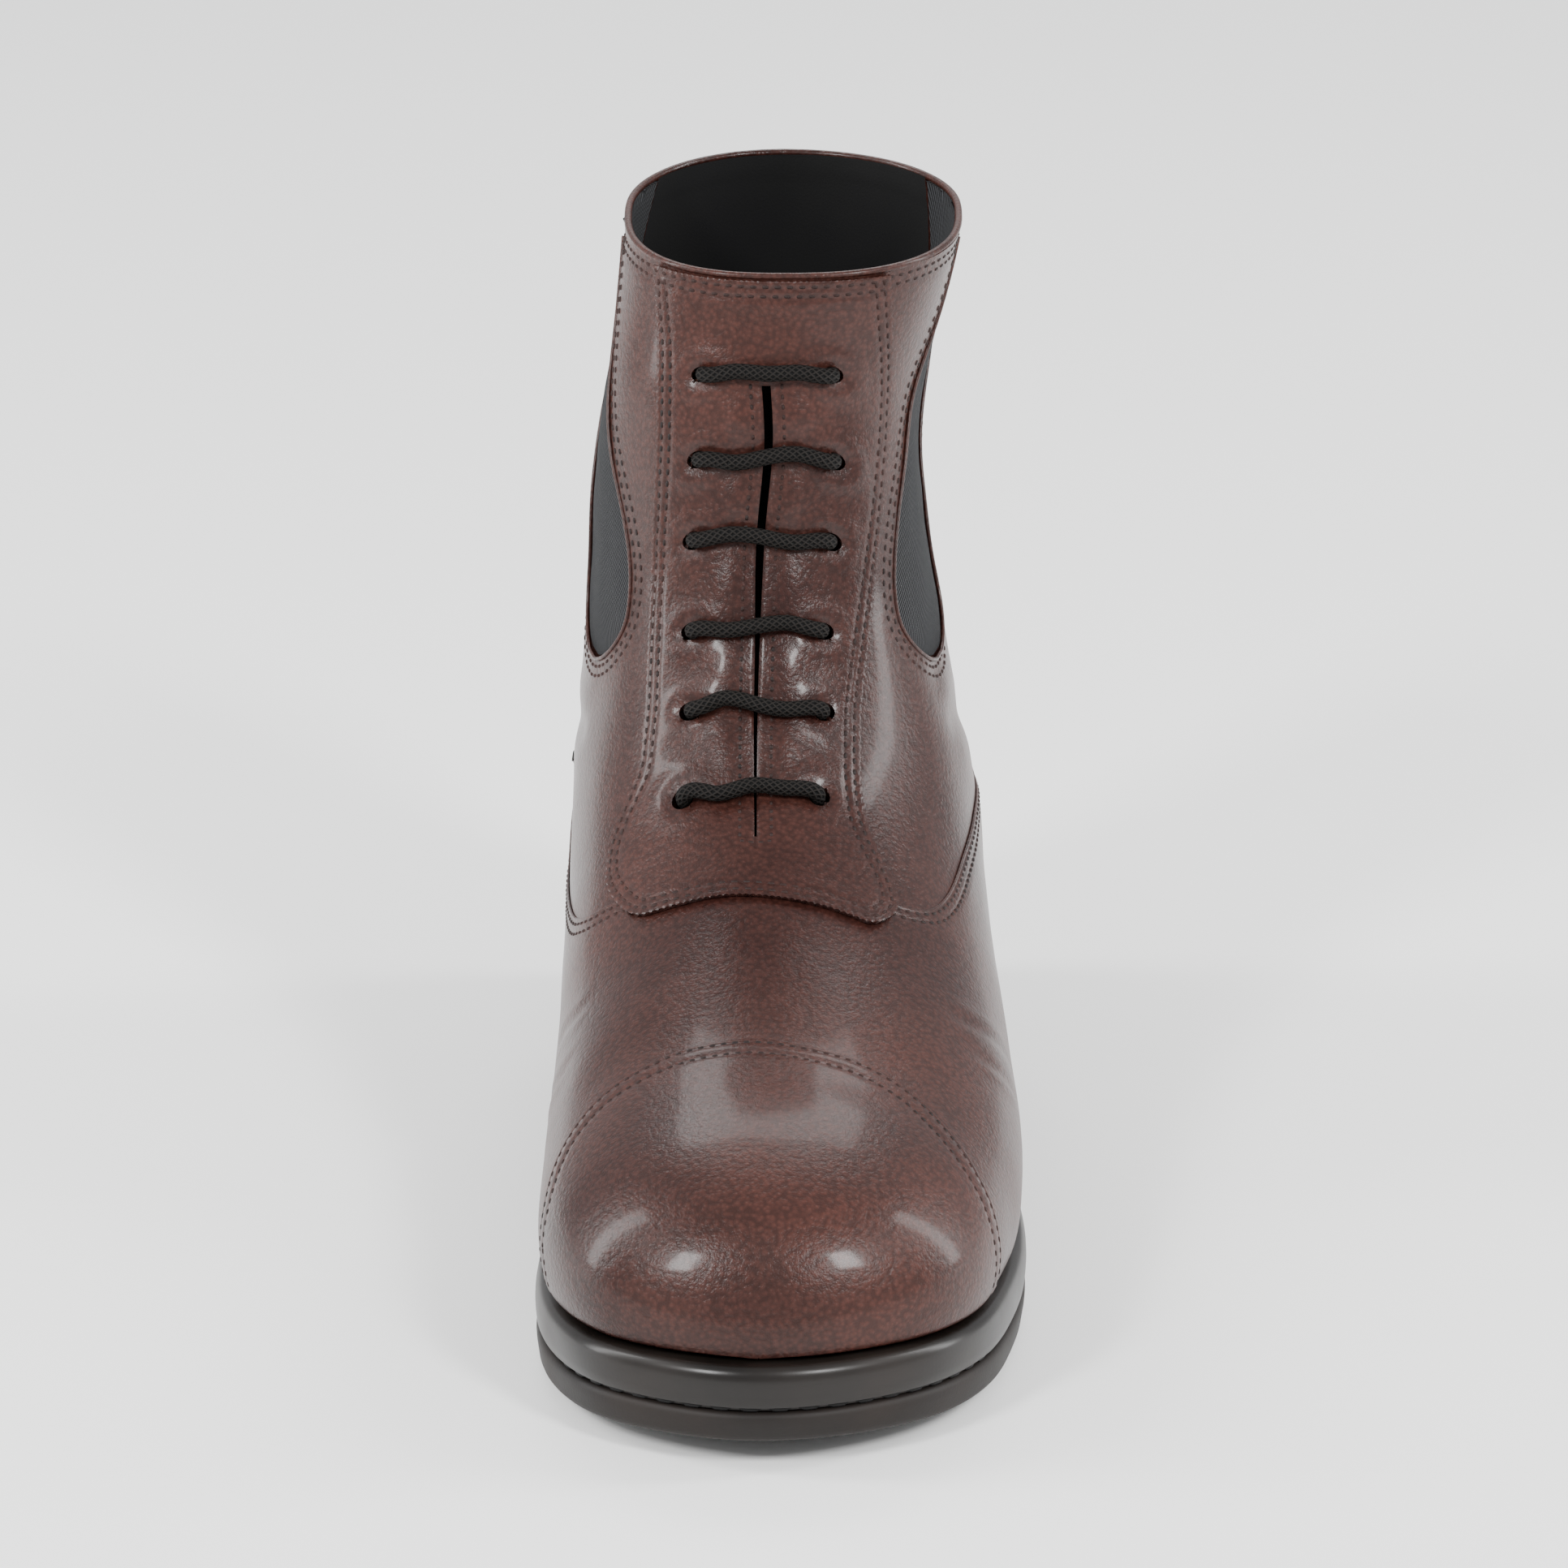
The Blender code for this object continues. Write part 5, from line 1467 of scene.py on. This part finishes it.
@dataclass
class SpurRest:
    """Moulded ledge round the counter."""

    shop: Workshop

    def build(self) -> bpy.types.Object:
        """Builds the ledge, widest at the back."""
        columns = 140
        past = np.linspace(SPUR_REST_LINE[0][0], 2 - SPUR_REST_LINE[0][0], columns)
        back = np.minimum(past, 2 - past)
        turns = np.where(past <= 1, past, past - 2)
        knots = [row[0] for row in SPUR_REST_LINE]
        middle, half, ledge = (Spline(knots, [row[k] for row in SPUR_REST_LINE])(back)
                               for k in (1, 2, 3))
        rows = np.sin(np.linspace(-1, 1, 17) * math.pi / 2)
        grown = ease(knots[0] - .02, knots[1] + .03, back)
        half = half * (.35 + .65 * grown)
        stations = middle[None, :] + rows[:, None] * half[None, :]
        swell = np.sqrt(np.clip(1 - np.abs(rows) ** 2.5, 0, 1))[:, None] * ledge[None, :]
        turned = np.broadcast_to(turns, stations.shape)
        lift = VAMP_LIFT + .45 + .9 * grown
        piece = self.shop.sheet("spur_ledge", stations, turned, lift + swell * grown, 1.8,
                                (self.shop.rubber,))
        self.shop.apply(piece)
        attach(piece, "root")
        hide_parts("spur_rest")
        return piece


@dataclass
class Stitching:
    """Every row of thread on the leather and the sole, and the rolled edges beside them."""

    shop: Workshop

    def row(self, name: str, seam: Seam, skin: Skin, **sizes: float) -> bpy.types.Object:
        """Sews a row in leather thread."""
        made = StitchRow(name, seam, **sizes).sew(self.shop, skin, self.shop.thread)
        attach(made, "root")
        return made

    def bead(self, name: str, line: Place, radius: float) -> bpy.types.Object:
        """Rolled leather edge along a line."""
        made = self.shop.cord(name, line, radius, 8, self.shop.leather)
        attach(made, "root")
        return made

    def sew_facing(self, facing: bpy.types.Object, panel: Facing) -> None:
        """Sews two rows round the facing, and one round the slot that closes below it."""
        skin = Skin(facing)
        edge = panel.edge_line()
        for label, shift in zip(("outer", "inner"), FACING_ROWS):
            self.row("facing_row_" + label, edge.beside(shift), skin)
        slot = panel.slot_line()
        left, right = slot.beside(SLOT_ROW_AWAY), slot.beside(-SLOT_ROW_AWAY)
        around = Seam(np.concatenate([left.points[::-1], slot.points[:1], right.points]),
                      np.concatenate([left.out[::-1], slot.out[:1], right.out]))
        self.row("slot_row", around, skin, pitch=2.2, thread=.40)

    def sew_upper(self, toe: bpy.types.Object, vamp: bpy.types.Object,
                  quarter: bpy.types.Object, facing: bpy.types.Object) -> None:
        """Sews the cap, the vamp and the collar."""
        cap = table_line(CAP_SEAM, 1, .05)
        turn = np.linspace(-.86, .86, 240)
        seam = Seam.on_last(cap(turn), turn, CAP_LIFT)
        for label, shift in zip(("outer", "inner"), CAP_ROWS):
            self.row("cap_row_" + label, seam.beside(-shift), Skin(toe), pitch=2.4)
        vamp_seam = table_line(VAMP_SEAM, 1, .04)
        turn = np.linspace(-.995, .995, 500)
        seam = Seam.on_last(vamp_seam(turn), turn, VAMP_LIFT)
        for label, shift in zip(("outer", "inner"), VAMP_ROWS):
            self.row("vamp_row_" + label, seam.beside(-shift), Skin(vamp))
        turn = np.linspace(-1, 1, 300)
        collar = np.full(300, COLLAR_STATION)
        step = .3
        climb = LAST.point(collar, turn) - LAST.point(collar - step, turn)
        rise = np.linalg.norm(climb, axis=-1) / step
        for label, low in zip(("upper", "lower"), COLLAR_ROWS):
            self.row("collar_row_" + label, Seam.on_last(collar - low / rise, turn, 0.0),
                     Skin(quarter, facing))
        self.bead("collar_edge", LAST.surface(collar + .01, turn * .998, -.7), .85)

    def sew_gore(self, quarter: bpy.types.Object, gore: Gore) -> None:
        """Sews two rows round a gore and rolls the leather's edge."""
        edge = gore.outline()
        away = -gore.side.value
        name = gore.side.name.lower()
        for label, shift in zip(("inner", "outer"), GORE_ROWS):
            self.row(f"gore_{name}_row_{label}", edge.beside(away * shift), Skin(quarter))
        self.bead(f"gore_{name}_edge", edge.points, .5)

    def sew_sole(self, midsole: bpy.types.Object) -> None:
        """Sews the long stitches in the groove between midsole and outsole."""
        height = Sole.welt(GAP + MIDSOLE_THICK - .35)
        stations = np.concatenate([.35 * np.linspace(0, 1, 12) ** 2, np.arange(.4, 11.4, .07),
                                   SEAT_STATION - .6 * np.linspace(1, 0, 18) ** 2])
        sides, outs = [], []
        for side in (-1, 1):
            places = np.array([Sole.edge(s, side, Sole.reach(-.9)(s)) for s in stations])
            places[:, 2] = [height(p, s) for p, s in zip(places, stations)]
            ahead = np.gradient(places, axis=0) * side
            out = np.stack([ahead[:, 1], -ahead[:, 0], np.zeros(len(ahead))], -1)
            sides.append(places)
            outs.append(out / np.linalg.norm(out, axis=1, keepdims=True))
        around = [np.concatenate([pair[0][::-1], pair[1][1:]]) for pair in (sides, outs)]
        row = StitchRow("sole_row", Seam(*around), pitch=6.2, thread=.62, sunk=-.05, share=.82)
        made = row.sew(self.shop, Skin(midsole), self.shop.sole_thread)
        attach(made, "root")


@dataclass
class Studio:
    """Pale floor, soft lights and the camera at the photo's angle.

    The mark is a point over the instep, in the boot's millimetres, and the pixel across the
    photo at which it shows.
    """

    mark: tuple[float, float, float] = (0, 203, 200)
    mark_px: float = 1291.0
    aim: tuple[float, float, float] = (2.0, 150.0, 96.0)
    eye_lift: float = 9.0
    sensor_mm: float = 36.0
    lights_aim: ClassVar[tuple] = (0, 0, .1)
    lights: ClassVar[tuple] = (
        ("front_left", (-.95, -1.15, 1.2), (.28, .45), 26),
        ("front_right", (.95, -1.2, 1.3), (.28, .45), 30),
        ("left_strip", (-1.2, .05, .7), (.22, 1.2), 17),
        ("right_strip", (1.25, .15, .7), (.22, 1.2), 17),
        ("back_top", (0, 1.3, 1.5), (1.2, .5), 16),
    )
    azimuth: float = 2.5
    distance: float = 1500.0
    elevation: float = 24.35
    focal_px: float = 8862.0
    image_px: float = 1932.0
    pitch: float = 19.06
    zoom: float = 1.12

    def camera(self) -> None:
        """Puts the camera where the photo was taken from, aimed at the boot's middle."""
        a = math.radians(self.azimuth)
        p = math.radians(self.pitch)
        right = np.array([math.cos(a), math.sin(a), 0])
        forward = np.array([-math.sin(a) * math.cos(p), math.cos(a) * math.cos(p), -math.sin(p)])
        height = self.distance * math.tan(math.radians(self.elevation)) + self.eye_lift
        place = np.array([math.sin(a), -math.cos(a), 0]) * self.distance + (0, 0, height)
        seen = np.array(self.mark) - place
        want = (self.mark_px - self.image_px / 2) / self.focal_px * (seen @ forward)
        place = place + right * (seen @ right - want)
        data = bpy.data.cameras.new("camera")
        data.sensor_width = self.sensor_mm
        data.lens = self.sensor_mm * self.focal_px / self.image_px * self.zoom
        data.clip_start = .05
        camera = bpy.data.objects.new("camera", data)
        bpy.context.scene.collection.objects.link(camera)
        place = (place - (CENTRE_X, CENTRE_Y, 0)) * MM
        target = (np.array(self.aim) - (CENTRE_X, CENTRE_Y, 0)) * MM
        camera.location = place
        camera.rotation_euler = Vector(target - place).to_track_quat("-Z", "Y").to_euler()
        bpy.context.scene.camera = camera

    @staticmethod
    def light(name: str, place: Sequence[float], target: Sequence[float], size: Sequence[float],
              power: float) -> None:
        """Adds a soft rectangular light.

        Args:
            name: Name of the light.
            place: Its place in metres.
            target: Point that it faces.
            size: Its two sides in metres.
            power: Watts.
        """
        data = bpy.data.lights.new(name, "AREA")
        data.shape = "RECTANGLE"
        data.size, data.size_y = size
        data.energy = power
        lamp = bpy.data.objects.new(name, data)
        lamp.location = place
        lamp.rotation_euler = (Vector(target) - Vector(place)).to_track_quat("-Z", "Y").to_euler()
        bpy.context.scene.collection.objects.link(lamp)

    def build(self) -> None:
        """Builds the floor, the lights, the world and the camera."""
        maker = bmesh.new()
        bmesh.ops.create_grid(maker, x_segments=1, y_segments=1, size=6)
        floor = Workshop.finish(maker, "floor", ())
        made, tree, shader = start_material("Pale floor", {
            "Base Color": linear("#f6f6f5"), "Roughness": .6, "Specular IOR Level": .2})
        floor.data.materials.append(made)
        world = bpy.data.worlds.new("studio")
        bpy.context.scene.world = world
        world.use_nodes = True
        world.node_tree.nodes["Background"].inputs["Color"].default_value = linear("#f3f4f6")
        world.node_tree.nodes["Background"].inputs["Strength"].default_value = .92
        for name, place, size, power in self.lights:
            self.light(name, place, self.lights_aim, size, power)
        self.camera()


def main() -> None:
    """Builds every sub-assembly in order, then the studio."""
    logging.basicConfig(level=logging.INFO, format="%(name)s: %(message)s")
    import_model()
    shop = Workshop()
    toe, vamp, quarter = Upper(shop).build()
    log.info("upper: %d faces", sum(len(p.data.polygons) for p in (toe, vamp, quarter)))
    gores = [Gore(shop, side) for side in Side]
    for gore in gores:
        log.info("gore: %d faces", len(gore.build().data.polygons))
    panel = Facing(shop)
    facing = panel.build()
    log.info("facing: %d faces", len(facing.data.polygons))
    lacing = Lacing(shop)
    log.info("lace: %d faces", len(lacing.build_lace().data.polygons))
    lacing.build_tongue()
    layers = Sole(shop).build()
    log.info("sole: %d faces", sum(len(p.data.polygons) for p in layers))
    SpurRest(shop).build()
    stitching = Stitching(shop)
    stitching.sew_facing(facing, panel)
    stitching.sew_upper(toe, vamp, quarter, facing)
    for gore in gores:
        stitching.sew_gore(quarter, gore)
    stitching.sew_sole(layers[1])
    Studio().build()


if __name__ == "__main__":
    main()
